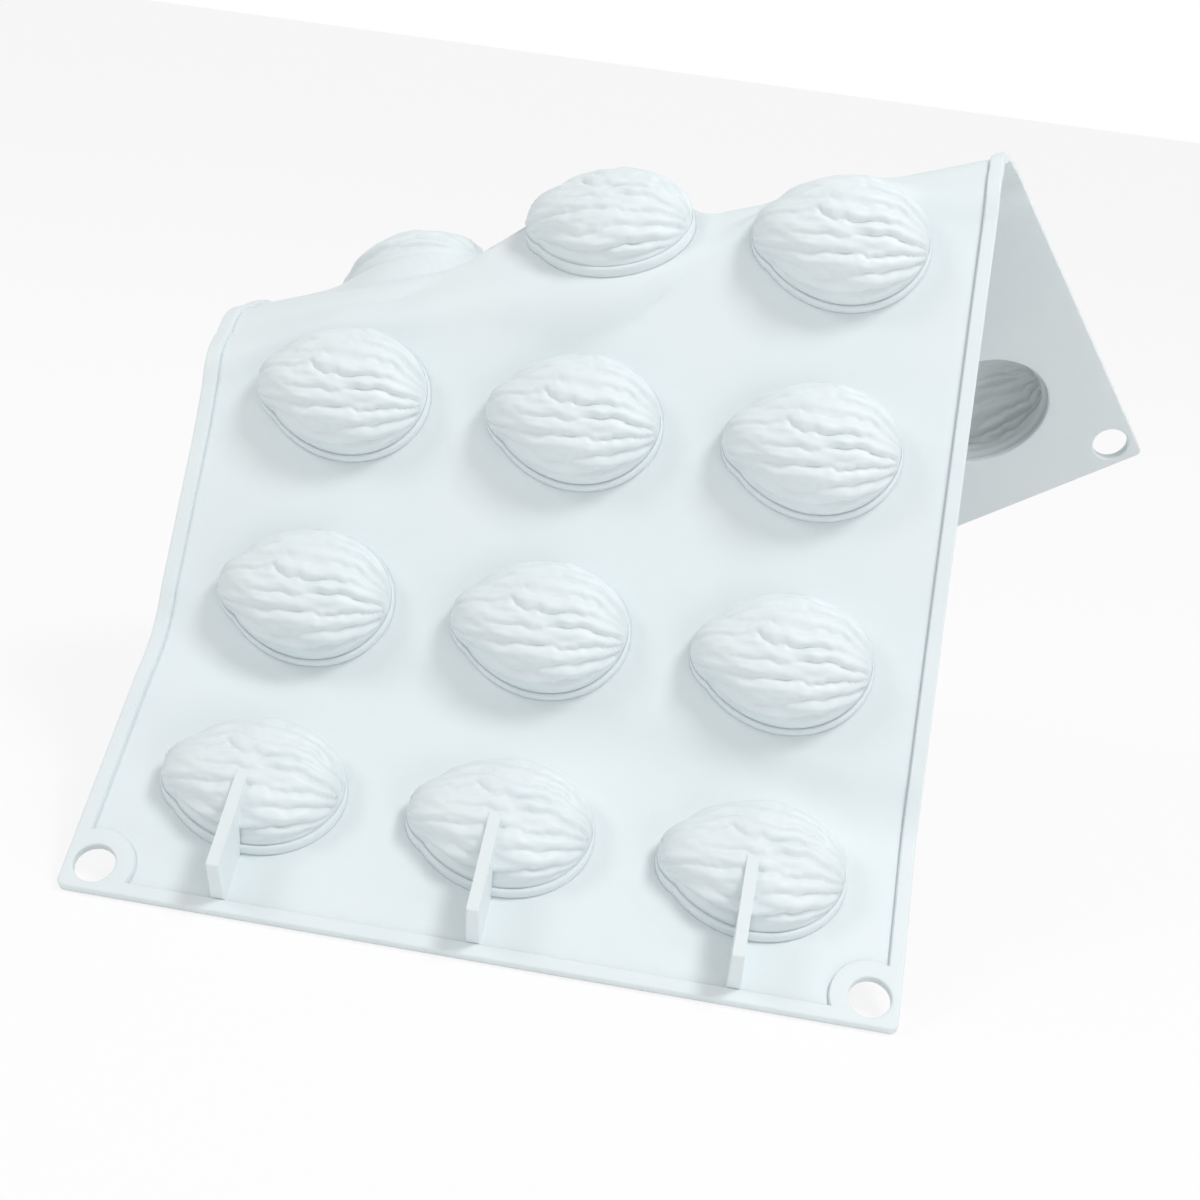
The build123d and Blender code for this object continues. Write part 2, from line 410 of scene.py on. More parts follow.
    def eased(self, edges: np.ndarray) -> np.ndarray:
        """Strip edges with their corners rounded off along the sheet's width.

        Args:
            edges: edges of the strips, one row per fold.

        Returns:
            The rounded edges.
        """
        reach = self.ease_reach
        weights = np.exp(-0.5 * (np.arange(-reach, reach + 1) / self.ease_spread) ** 2)
        padded = np.pad(edges, ((0, 0), (reach, reach)), mode="reflect", reflect_type="odd")
        count = edges.shape[1]
        shifted = [padded[:, i:i + count] * weight for i, weight in enumerate(weights)]
        return sum(shifted) / weights.sum()

    def shares(self, u: np.ndarray, v: np.ndarray) -> np.ndarray:
        """How far each place lies through each fold's strip, one row per fold.

        Args:
            u: places across the sheet.
            v: places along the sheet.

        Returns:
            0 at a strip's start and 1 at its end, less before it and more past it.
        """
        rows = []
        for near, far in zip(self.near_edges, self.far_edges):
            start = np.interp(u, self.samples, near)
            end = np.interp(u, self.samples, far)
            rows.append((v - start) / np.maximum(end - start, self.least_width))
        return np.array(rows)

    def bent(self, shares: np.ndarray) -> np.ndarray:
        """Part of a fold's bend that is reached there: an even bend with softened ends."""
        return self.evenness * np.clip(shares, 0, 1) + (1 - self.evenness) * smooth(shares)

    def carry(self, u: np.ndarray, v: np.ndarray, w: np.ndarray) -> np.ndarray:
        """Flat points carried round the folds, in millimetres of the row frame.

        Args:
            u: places across the sheet.
            v: places along the sheet.
            w: heights above the web's outer face.

        Returns:
            An array of points.
        """
        points = np.stack([u, v, w], 1).astype(float)
        for line, share in reversed(list(zip(FOLDS, self.bent(self.shares(u, v))))):
            point, direction = self.hinge(line)
            angle = np.radians(-line.bend * share)[:, None]
            arm = points - point
            along = (arm @ direction)[:, None] * direction
            turned = (arm - along) * np.cos(angle) + np.cross(direction, arm) * np.sin(angle)
            points = point + along + turned
        return points @ self.to_world[:3, :3].T + self.to_world[:3, 3]

    def place(self, u: np.ndarray, v: np.ndarray, w: np.ndarray) -> np.ndarray:
        """Flat points in the rest pose, with w along the folded sheet's own normal.

        Args:
            u: places across the sheet.
            v: places along the sheet.
            w: heights above the web's outer face.

        Returns:
            An array of points in millimetres of the row frame.
        """
        u, v, w = (np.asarray(a, float) for a in (u, v, w))
        flat = np.zeros_like(u)
        step = self.normal_step
        across = self.carry(u + step, v, flat) - self.carry(u - step, v, flat)
        along = self.carry(u, v + step, flat) - self.carry(u, v - step, flat)
        normal = np.cross(across, along)
        normal /= np.linalg.norm(normal, axis=1)[:, None]
        return self.carry(u, v, flat) + normal * w[:, None]

    def body_matrix(self, body: str) -> Matrix:
        """Matrix from flat millimetres to metres in the rest pose for a rigid slat."""
        return Matrix.Scale(MM, 4) @ Matrix([list(row) for row in self.places[BODIES.index(body)]])


@dataclass
class FlatPlan:
    """Points and lines of the flat sheet that its triangles have to follow."""

    points: list[tuple[float, float]] = field(default_factory=list)
    edges: list[tuple[int, int]] = field(default_factory=list)
    openings: list[set[int]] = field(default_factory=list)
    merge_distance: float = 1e-4
    least_area: float = 1e-7

    def scatter(self, points: Iterable[Sequence[float]]) -> list[int]:
        """Adds points.

        Args:
            points: (u, v) places.

        Returns:
            The points' numbers.
        """
        first = len(self.points)
        self.points.extend((float(p[0]), float(p[1])) for p in points)
        return list(range(first, len(self.points)))

    def line(self, points: Iterable[Sequence[float]]) -> None:
        """Adds an open line through points."""
        numbers = self.scatter(points)
        self.edges.extend(zip(numbers, numbers[1:]))

    def loop(self, points: Iterable[Sequence[float]], opening: bool = False) -> None:
        """Adds a closed line through points, which may bound an opening.

        Args:
            points: corners of the line.
            opening: whether the line bounds an opening.
        """
        numbers = self.scatter(points)
        self.edges.extend(zip(numbers, numbers[1:] + numbers[:1]))
        if opening:
            self.openings.append(set(numbers))

    def triangles(self) -> tuple[np.ndarray, np.ndarray]:
        """Triangles that follow all lines and leave the openings out.

        Returns:
            The (u, v) places of the corners, and three corner numbers per triangle.
        """
        flat = [Vector(p) for p in self.points]
        corners, _, faces, sources, _, _ = delaunay_2d_cdt(flat, self.edges, [], 0, self.merge_distance)
        home = np.zeros(len(corners), int)
        for number, opening in enumerate(self.openings, 1):
            for corner, source in enumerate(sources):
                if not opening.isdisjoint(source):
                    home[corner] = number
        places = np.array([(c.x, c.y) for c in corners])
        kept = []
        for face in faces:
            face = list(face)
            first = home[face[0]]
            if first and all(home[i] == first for i in face):
                continue
            a, b, c = places[face]
            area = (b[0] - a[0]) * (c[1] - a[1]) - (b[1] - a[1]) * (c[0] - a[0])
            if abs(area) < self.least_area:
                continue
            kept.append(face if area > 0 else face[::-1])
        return places, np.array(kept)


@dataclass(frozen=True)
class SiliconeFinish:
    """Moulded silicone: pale and even, with a faint mottle, a fine grain and soft highlights.

    Attributes:
        name: name of the material.
        pale: colour of the clean silicone, linear; in the cavity's finish it is darker, which is painted
            shade.
        deep: colour of its faint darker mottle, linear.
        roughness: mean roughness.
        roughness_spread: how far the roughness wanders.
        grain_size: width of the surface grain in millimetres.
        grain_depth: depth of the surface grain in millimetres.
        sheen: weight of the velvety sheen at grazing angles.
        mottle_scale: scale of the mottle's noise.
        mottle_detail: detail of the mottle's noise.
        haze_scale: scale of the noise that the roughness follows.
        grain_detail: detail of the noise of the grain and of the roughness.
        grain_strength: strength of the grain's bump.
        refraction: refractive index of silicone.
    """

    name: str
    pale: tuple[float, float, float]
    deep: tuple[float, float, float]
    roughness: float
    roughness_spread: float
    grain_size: float
    grain_depth: float
    sheen: float
    mottle_scale: float = 55.0
    mottle_detail: float = 3.0
    haze_scale: float = 180.0
    grain_detail: float = 2.0
    grain_strength: float = 0.5
    refraction: float = 1.41

    def noise(self, tree: bpy.types.NodeTree, place: bpy.types.NodeSocket, scale: float,
              detail: float) -> bpy.types.NodeSocket:
        """Adds a noise texture at a place, and returns its value.

        Args:
            tree: the node tree.
            place: socket of the place.
            scale: scale of the noise.
            detail: detail of the noise.

        Returns:
            The noise's value.
        """
        texture = tree.nodes.new("ShaderNodeTexNoise")
        texture.inputs["Scale"].default_value = scale
        texture.inputs["Detail"].default_value = detail
        tree.links.new(place, texture.inputs["Vector"])
        return texture.outputs[0]

    def material(self) -> bpy.types.Material:
        """Builds the finish as a node material on Object coordinates.

        Returns:
            The material.
        """
        material = bpy.data.materials.new(self.name)
        material.use_nodes = True
        tree = material.node_tree
        nodes, links = tree.nodes, tree.links
        shader = nodes["Principled BSDF"]
        place = nodes.new("ShaderNodeTexCoord").outputs["Object"]
        tint = nodes.new("ShaderNodeMix")
        tint.data_type = "RGBA"
        tint.inputs["A"].default_value = (*self.pale, 1.0)
        tint.inputs["B"].default_value = (*self.deep, 1.0)
        mottle = self.noise(tree, place, self.mottle_scale, self.mottle_detail)
        links.new(mottle, tint.inputs["Factor"])
        links.new(tint.outputs["Result"], shader.inputs["Base Color"])
        wander = nodes.new("ShaderNodeMapRange")
        wander.inputs["To Min"].default_value = self.roughness - self.roughness_spread
        wander.inputs["To Max"].default_value = self.roughness + self.roughness_spread
        haze = self.noise(tree, place, self.haze_scale, self.grain_detail)
        links.new(haze, wander.inputs["Value"])
        links.new(wander.outputs["Result"], shader.inputs["Roughness"])
        bump = nodes.new("ShaderNodeBump")
        bump.inputs["Strength"].default_value = self.grain_strength
        bump.inputs["Distance"].default_value = self.grain_depth * MM
        grain = self.noise(tree, place, 1.0 / (self.grain_size * MM), self.grain_detail)
        links.new(grain, bump.inputs["Height"])
        links.new(bump.outputs["Normal"], shader.inputs["Normal"])
        shader.inputs["Sheen Weight"].default_value = self.sheen
        shader.inputs["IOR"].default_value = self.refraction
        return material


SATIN = SiliconeFinish(
    name="satin_silicone", pale=(0.79, 0.85, 0.865), deep=(0.745, 0.81, 0.83), roughness=0.46,
    roughness_spread=0.06, grain_size=0.5, grain_depth=0.02, sheen=0.04)
# Cavity finish: its low roughness is real gloss, but its darker base colours are painted shade in the
# hollow of each cup.
GLOSS_AND_PAINTED_SHADE = SiliconeFinish(
    name="cavity_silicone", pale=(0.70, 0.745, 0.75), deep=(0.62, 0.665, 0.67), roughness=0.12,
    roughness_spread=0.04, grain_size=1.4, grain_depth=0.10, sheen=0.0)


def new_object(name: str, data: bpy.types.ID) -> bpy.types.Object:
    """Links a mesh, lamp or camera to the scene as an object at the origin.

    Args:
        name: name of the object.
        data: its mesh, lamp or camera.

    Returns:
        The object.
    """
    made = bpy.data.objects.new(name, data)
    bpy.context.scene.collection.objects.link(made)
    return made


def new_piece(name: str, mesh: bpy.types.Mesh) -> bpy.types.Object:
    """Links a mesh to the scene as a piece of the mold.

    Args:
        name: name of the piece.
        mesh: its mesh, already in its place.

    Returns:
        The object.
    """
    piece = new_object(name, mesh)
    return piece


@dataclass
class Sheet:
    """The web of the mold with its rims and corner eyelets, bent softly at the fold lines.

    Attributes:
        rim_offsets: distances inside the rim's edge where its height is given.
        rim_heights: shares of the rim's rise there, with a shallow groove before the rim.
        foot_offsets: distances outside a cup where the groove round it is given.
        foot_heights: heights of that groove.
        edge_insets: distances inside an edge where its rounding is given.
        edge_drops: drops of the rounding there.
        field_clearance: least gap from a moulded feature to a point of the flat field.
        strip_margin: share of a strip's width that such points keep clear of it.
        rim_overrun: how far the lines that end an eyelet run past the rim.
        shortest_bend: least length of a bend before its mean length is taken.
        cup_reach: distance from a cup's centre within which its outline is measured.
        wide_reach: reach above which a fold's strip gets the wide number of steps.
    """

    folds: FoldMap
    finish: bpy.types.Material
    web_thickness: float = 1.5
    rim_width: float = 3.1
    rim_rise: float = 1.0
    eyelet_inset: float = 6.3
    boss_radius: float = 8.3
    hole_radius: float = 4.4
    cup_wall: float = 1.2
    corner_radius: float = 1.6
    rim_offsets: tuple[float, ...] = (-0.42, -0.2, -0.06, 0.02, 0.12, 0.3)
    rim_heights: tuple[float, ...] = (0.0, -0.25, -0.25, 0.62, 0.9, 1.0)
    foot_offsets: tuple[float, ...] = (0.0, 0.12, 0.34)
    foot_heights: tuple[float, ...] = (-0.12, -0.09, 0.0)
    edge_insets: tuple[float, ...] = (0.0, 0.13, 0.42)
    edge_drops: tuple[float, ...] = (0.36, 0.1, 0.0)
    field_step: float = 6.0
    field_clearance: float = 1.2
    strip_margin: float = 0.12
    line_step: float = 1.25
    rim_overrun: float = 0.4
    shortest_bend: float = 0.5
    cup_reach: float = 26.0
    ring_points: int = 72
    hole_points: int = 48
    corner_points: int = 7
    boss_points: int = 25
    wide_reach: float = 9.0
    wide_steps: int = 9
    narrow_steps: int = 7
    span_samples: int = 9
    least_normal: float = 1e-12

    def eyelet_centres(self) -> list[tuple[float, float]]:
        """Centres of the four hanging holes."""
        near, width, length = self.eyelet_inset, self.folds.width, self.folds.length
        return [(u, v) for u in (near, width - near) for v in (near, length - near)]

    def rim_depth(self, u: np.ndarray, v: np.ndarray) -> np.ndarray:
        """Distance inside the raised rim and eyelets, negative on the web.

        Args:
            u: places across the sheet.
            v: places along the sheet.

        Returns:
            The distance at each place, in millimetres.
        """
        width, length = self.folds.width, self.folds.length
        depth = self.rim_width - np.minimum.reduce([u, width - u, v, length - v])
        for cu, cv in self.eyelet_centres():
            depth = np.maximum(depth, self.boss_radius - np.hypot(u - cu, v - cv))
        return depth

    def edge_depth(self, u: np.ndarray, v: np.ndarray) -> np.ndarray:
        """Distance inside the sheet's outline with its rounded corners.

        Args:
            u: places across the sheet.
            v: places along the sheet.

        Returns:
            The distance at each place, in millimetres.
        """
        half_u, half_v = self.folds.width / 2, self.folds.length / 2
        qu = np.abs(u - half_u) - half_u + self.corner_radius
        qv = np.abs(v - half_v) - half_v + self.corner_radius
        outside = np.hypot(np.maximum(qu, 0), np.maximum(qv, 0)) + np.minimum(np.maximum(qu, qv), 0)
        return self.corner_radius - outside

    def hole_depth(self, u: np.ndarray, v: np.ndarray) -> np.ndarray:
        """Distance outside the nearest hanging hole."""
        gaps = [np.hypot(u - cu, v - cv) - self.hole_radius for cu, cv in self.eyelet_centres()]
        return np.minimum.reduce(gaps)

    def egg_depth(self, u: np.ndarray, v: np.ndarray, inset: float) -> np.ndarray:
        """Distance from the nearest cup's outline or from a line at an inset within it.

        Args:
            u: places across the sheet.
            v: places along the sheet.
            inset: how far inside the outline the line lies.

        Returns:
            The distance at each place, infinite far from every cup.
        """
        depth = np.full_like(u, math.inf)
        ring = self.folds.egg.ring(2 * self.ring_points, inset)
        for _, _, cu, cv in self.folds.cups():
            close = np.flatnonzero(np.hypot(u - cu, v - cv) < self.cup_reach)
            gaps = np.hypot(u[close, None] - cu - ring[:, 0], v[close, None] - cv - ring[:, 1])
            depth[close] = np.minimum(depth[close], gaps.min(1))
        return depth

    def heights(self, u: np.ndarray, v: np.ndarray) -> tuple[np.ndarray, np.ndarray]:
        """Heights of the sheet's outer and filling faces.

        Args:
            u: places across the sheet.
            v: places along the sheet.

        Returns:
            The outer height and the filling-side height at each place.
        """
        top = self.rim_rise * np.interp(self.rim_depth(u, v), self.rim_offsets, self.rim_heights)
        rounding = np.interp(self.edge_depth(u, v), self.edge_insets, self.edge_drops)
        rounding = rounding + np.interp(self.hole_depth(u, v), self.edge_insets, self.edge_drops)
        groove = np.interp(self.egg_depth(u, v, 0.0), self.foot_offsets, self.foot_heights)
        mouth = np.interp(self.egg_depth(u, v, self.cup_wall), self.edge_insets, self.edge_drops)
        return top - rounding + groove, -self.web_thickness + rounding + mouth

    def outline(self, inset: float) -> np.ndarray:
        """Closed line at an inset from the sheet's outline.

        Args:
            inset: distance inside the outline.

        Returns:
            An array of (u, v) places.
        """
        width, length, radius = self.folds.width, self.folds.length, self.corner_radius
        points = []
        for number, (cu, cv) in enumerate(((width, 0), (width, length), (0, length), (0, 0))):
            centre_u = cu - radius if cu else radius
            centre_v = cv - radius if cv else radius
            turn = np.radians(np.linspace(-90, 0, self.corner_points) + 90 * number)
            reach = radius - inset
            points.append(np.stack([centre_u + reach * np.cos(turn), centre_v + reach * np.sin(turn)], 1))
        return self.divided(np.vstack(points))

    def rim_line(self, depth: float) -> np.ndarray:
        """Closed line at a depth inside the raised rim and eyelets.

        Args:
            depth: distance inside the rim, negative on the web.

        Returns:
            An array of (u, v) places.
        """
        width, length = self.folds.width, self.folds.length
        reach = self.boss_radius - depth
        gap = self.eyelet_inset - self.rim_width + depth
        lift = math.asin(gap / reach)
        turn = np.linspace(-lift, math.pi / 2 + lift, self.boss_points)
        corner = self.eyelet_inset + reach * np.stack([np.cos(turn), np.sin(turn)], 1)
        front_left = corner[::-1]
        front_right = (width, 0) + corner * (-1, 1)
        back_right = (width, length) - corner[::-1]
        back_left = (0, length) + corner * (1, -1)
        return self.divided(np.vstack([front_left, front_right, back_right, back_left]))

    def divided(self, loop: np.ndarray) -> np.ndarray:
        """A closed line with its long runs divided into short ones.

        Args:
            loop: corners of the line.

        Returns:
            Corners of the divided line.
        """
        points = []
        for start, end in zip(loop, np.roll(loop, -1, 0)):
            count = max(1, math.ceil(np.hypot(*(end - start)) / self.line_step))
            points.extend(start + (end - start) * i / count for i in range(count))
        return np.array(points)

    def plan(self) -> FlatPlan:
        """Points and lines that the sheet's triangles follow.

        Returns:
            The plan of the whole sheet.
        """
        folds, plan = self.folds, FlatPlan()
        for inset in self.edge_insets:
            plan.loop(self.outline(inset))
        for depth in self.rim_offsets:
            plan.loop(self.rim_line(depth))
        turn = np.linspace(0, 2 * math.pi, self.hole_points, endpoint=False)
        for cu, cv in self.eyelet_centres():
            for inset in self.edge_insets:
                reach = self.hole_radius + inset
                circle = np.stack([cu + reach * np.cos(turn), cv + reach * np.sin(turn)], 1)
                plan.loop(circle, opening=inset == 0)
        for _, _, cu, cv in folds.cups():
            centre = np.array([cu, cv])
            for inset in self.edge_insets:
                mouth = folds.egg.ring(self.ring_points, self.cup_wall - inset)
                plan.loop(centre + mouth, opening=inset == 0)
            for offset in self.foot_offsets:
                plan.loop(centre + folds.egg.ring(self.ring_points, -offset))
        for line, near, far in zip(FOLDS, folds.near_edges, folds.far_edges):
            count = self.wide_steps if line.reach > self.wide_reach else self.narrow_steps
            steps = np.linspace(0, 1, count)
            for step in steps:
                points = np.stack([folds.samples, near + (far - near) * step], 1)
                if step in (0, 1):
                    plan.line(points)
                else:
                    plan.scatter(points)
            for cut in line.cuts[1:-1]:
                start, end = (np.interp(cut, folds.samples, edge) for edge in (near, far))
                plan.line([(cut, start + (end - start) * step) for step in steps])
        reach = self.eyelet_reach()
        span = self.rim_width + self.rim_overrun
        for u_from, u_to in ((0, span), (folds.width - span, folds.width)):
            for v in (reach, folds.length - reach):
                plan.line([(u_from, v), (u_to, v)])
        for v_from, v_to in ((0, span), (folds.length - span, folds.length)):
            for u in (reach, folds.width - reach):
                plan.line([(u, v_from), (u, v_to)])
        plan.scatter(self.field_points())
        return plan

    def eyelet_reach(self) -> float:
        """How far an eyelet runs along the sheet's edges."""
        gap = self.eyelet_inset - self.rim_width
        return self.eyelet_inset + math.sqrt(self.boss_radius**2 - gap**2)

    def field_points(self) -> np.ndarray:
        """Points that fill the flat fields between the moulded features.

        Returns:
            An array of (u, v) places.
        """
        steps_u = np.arange(self.field_step, self.folds.width, self.field_step)
        steps_v = np.arange(self.field_step, self.folds.length, self.field_step)
        u, v = (a.ravel() for a in np.meshgrid(steps_u, steps_v))
        clear = self.rim_depth(u, v) < -self.field_clearance
        clear &= self.egg_depth(u, v, 0.0) > self.field_clearance
        for _, _, cu, cv in self.folds.cups():
            clear &= np.abs(v - cv) > self.folds.egg.half_width(u - cu)
        shares = self.folds.shares(u, v)
        clear &= ((shares < -self.strip_margin) | (shares > 1 + self.strip_margin)).all(0)
        return np.stack([u, v], 1)[clear]

    def zone(self, u: float, v: float) -> Zone:
        """Moulded feature at a place on a rigid part of the sheet.

        Args:
            u: place across the sheet.
            v: place along the sheet.

        Returns:
            The feature.
        """
        width, length, reach = self.folds.width, self.folds.length, self.eyelet_reach()
        if self.rim_depth(np.array([u]), np.array([v]))[0] < self.rim_offsets[0]:
            return Zone.WEB
        left, front = u < width / 2, v < length / 2
        from_side = u if left else width - u
        from_end = v if front else length - v
        if from_side < reach and from_end < reach:
            end, side = ("FRONT" if front else "BACK"), ("LEFT" if left else "RIGHT")
            return Zone[f"EYELET_{end}_{side}"]
        if from_side < from_end:
            return Zone.RIM_LEFT if left else Zone.RIM_RIGHT
        return Zone.RIM_FRONT if front else Zone.RIM_BACK

    def divide(self, places: np.ndarray, faces: np.ndarray) -> dict[tuple, list[int]]:
        """Sorts triangles into pieces.

        Args:
            places: (u, v) places of the corners.
            faces: three corner numbers per triangle.

        Returns:
            Triangle numbers for each piece. The key is ("strip", fold, part) or
            ("slat", body, zone).
        """
        middles = places[faces].mean(1)
        shares = self.folds.shares(middles[:, 0], middles[:, 1])
        pieces: dict[tuple, list[int]] = {}
        for number, (u, v) in enumerate(middles):
            inside = np.flatnonzero((shares[:, number] > 0) & (shares[:, number] < 1))
            if len(inside):
                fold = int(inside[0])
                part = int(np.searchsorted(FOLDS[fold].cuts, u)) - 1
                key = ("strip", fold, part)
            else:
                slat = int((shares[:, number] >= 1).sum())
                key = ("slat", BODIES[slat], self.zone(u, v))
            pieces.setdefault(key, []).append(number)
        return pieces

    def build(self) -> None:
        """Makes all pieces of the sheet and ties the rigid ones to the CAD bodies."""
        places, faces = self.plan().triangles()
        top_w, low_w = self.heights(places[:, 0], places[:, 1])
        top = self.folds.place(places[:, 0], places[:, 1], top_w) * MM
        low = self.folds.place(places[:, 0], places[:, 1], low_w) * MM
        normals = self.vertex_normals(top, faces), -self.vertex_normals(low, faces)
        LOG.info("sheet: %d corners, %d triangles a side", len(places), len(faces))
        left_over = {name for name in frame["nodes"] if name.startswith(("web_", "rim_", "eyelet_"))}
        for key, numbers in self.divide(places, faces).items():
            mesh = self.shell(top, low, normals, faces[numbers])
            if key[0] == "slat":
                _, body, zone = key
                whole = zone.value in left_over
                piece = new_piece(f"moulded_{zone.value}" + ("" if whole else f"_{body}"), mesh)
                nodes = [n for n in left_over if n == zone.value or n.startswith(f"{zone.value}_{body}")]
                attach(piece, body)
                if nodes:
                    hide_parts(*nodes)
                left_over -= set(nodes)
                LOG.info("%s rides on %s", piece.name, body)
            else:
                _, fold, part = key
                piece = new_piece(f"moulded_bend_{BODIES[fold]}_{BODIES[fold + 1]}_{part + 1:02d}", mesh)
                start, end = self.bend_span(fold, part)
                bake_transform(piece)
            mesh.materials.append(self.finish)
        for name in sorted(left_over):
            fold = next(i for i in range(len(FOLDS)) if BODIES[i + 1] in name)
            last = len(FOLDS[fold].cuts) - 2
            part = 0 if "left" in name else last if "right" in name else last // 2
            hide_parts(name)

    def bend_span(self, fold: int, part: int) -> tuple[Vector, Vector]:
        """Where one strip of a fold begins and ends to bend.

        Args:
            fold: number of the fold.
            part: number of the strip across the sheet.

        Returns:
            Two points of the row frame, in metres.
        """
        folds = self.folds
        u = np.linspace(*FOLDS[fold].cuts[part:part + 2], self.span_samples)
        edges = []
        for edge in (folds.near_edges[fold], folds.far_edges[fold]):
            edges.append(folds.place(u, np.interp(u, folds.samples, edge), np.zeros_like(u)) * MM)
        near, far = edges
        side = (near[-1] - near[0]) + (far[-1] - far[0])
        side /= np.linalg.norm(side)
        across = far.mean(0) - near.mean(0)
        across -= (across @ side) * side
        across /= np.linalg.norm(across)
        start, end = (near @ across).max(), (far @ across).min()
        if end - start < self.shortest_bend * MM:
            start, end = (near @ across).mean(), (far @ across).mean()
        base = near.mean(0) - (near.mean(0) @ across) * across
        return Vector(base + start * across), Vector(base + end * across)

    def vertex_normals(self, points: np.ndarray, faces: np.ndarray) -> np.ndarray:
        """Smooth normals of a triangulated surface at its corners.

        Args:
            points: corners of the surface.
            faces: three corner numbers per triangle.

        Returns:
            A unit normal for each corner.
        """
        a, b, c = (points[faces[:, i]] for i in range(3))
        turned = np.cross(b - a, c - a)
        normals = np.zeros_like(points)
        for i in range(3):
            np.add.at(normals, faces[:, i], turned)
        length = np.linalg.norm(normals, axis=1)[:, None]
        return normals / np.maximum(length, self.least_normal)

    def shell(self, top: np.ndarray, low: np.ndarray, normals: tuple[np.ndarray, np.ndarray],
              faces: np.ndarray) -> bpy.types.Mesh:
        """Closed mesh of some of the sheet's triangles, with the whole sheet's smooth shading.

        Args:
            top: outer corners of the whole sheet.
            low: filling-side corners of the whole sheet.
            normals: normals of both faces at those corners.
            faces: the triangles that this piece takes.

        Returns:
            A mesh with both faces and a wall all round.
        """
        used, local = np.unique(faces, return_inverse=True)
        local = local.reshape(faces.shape)
        count = len(used)
        sides = {(a, b) for face in local.tolist() for a, b in zip(face, face[1:] + face[:1])}
        border = sorted((a, b) for a, b in sides if (b, a) not in sides)
        upper = local.tolist()
        lower = (local[:, ::-1] + count).tolist()
        walls = [[a, a + count, b + count, b] for a, b in border]
        mesh = bpy.data.meshes.new("sheet")
        mesh.from_pydata(np.vstack([top[used], low[used]]).tolist(), [], upper + lower + walls)
        mesh.update()
        corner_normals = []
        for polygon in mesh.polygons:
            for vertex in polygon.vertices:
                if len(polygon.vertices) == 4:
                    corner_normals.append(tuple(polygon.normal))
                elif vertex < count:
                    corner_normals.append(tuple(normals[0][used[vertex]]))
                else:
                    corner_normals.append(tuple(normals[1][used[vertex - count]]))
        mesh.shade_smooth()
        mesh.normals_split_custom_set(corner_normals)
        return mesh


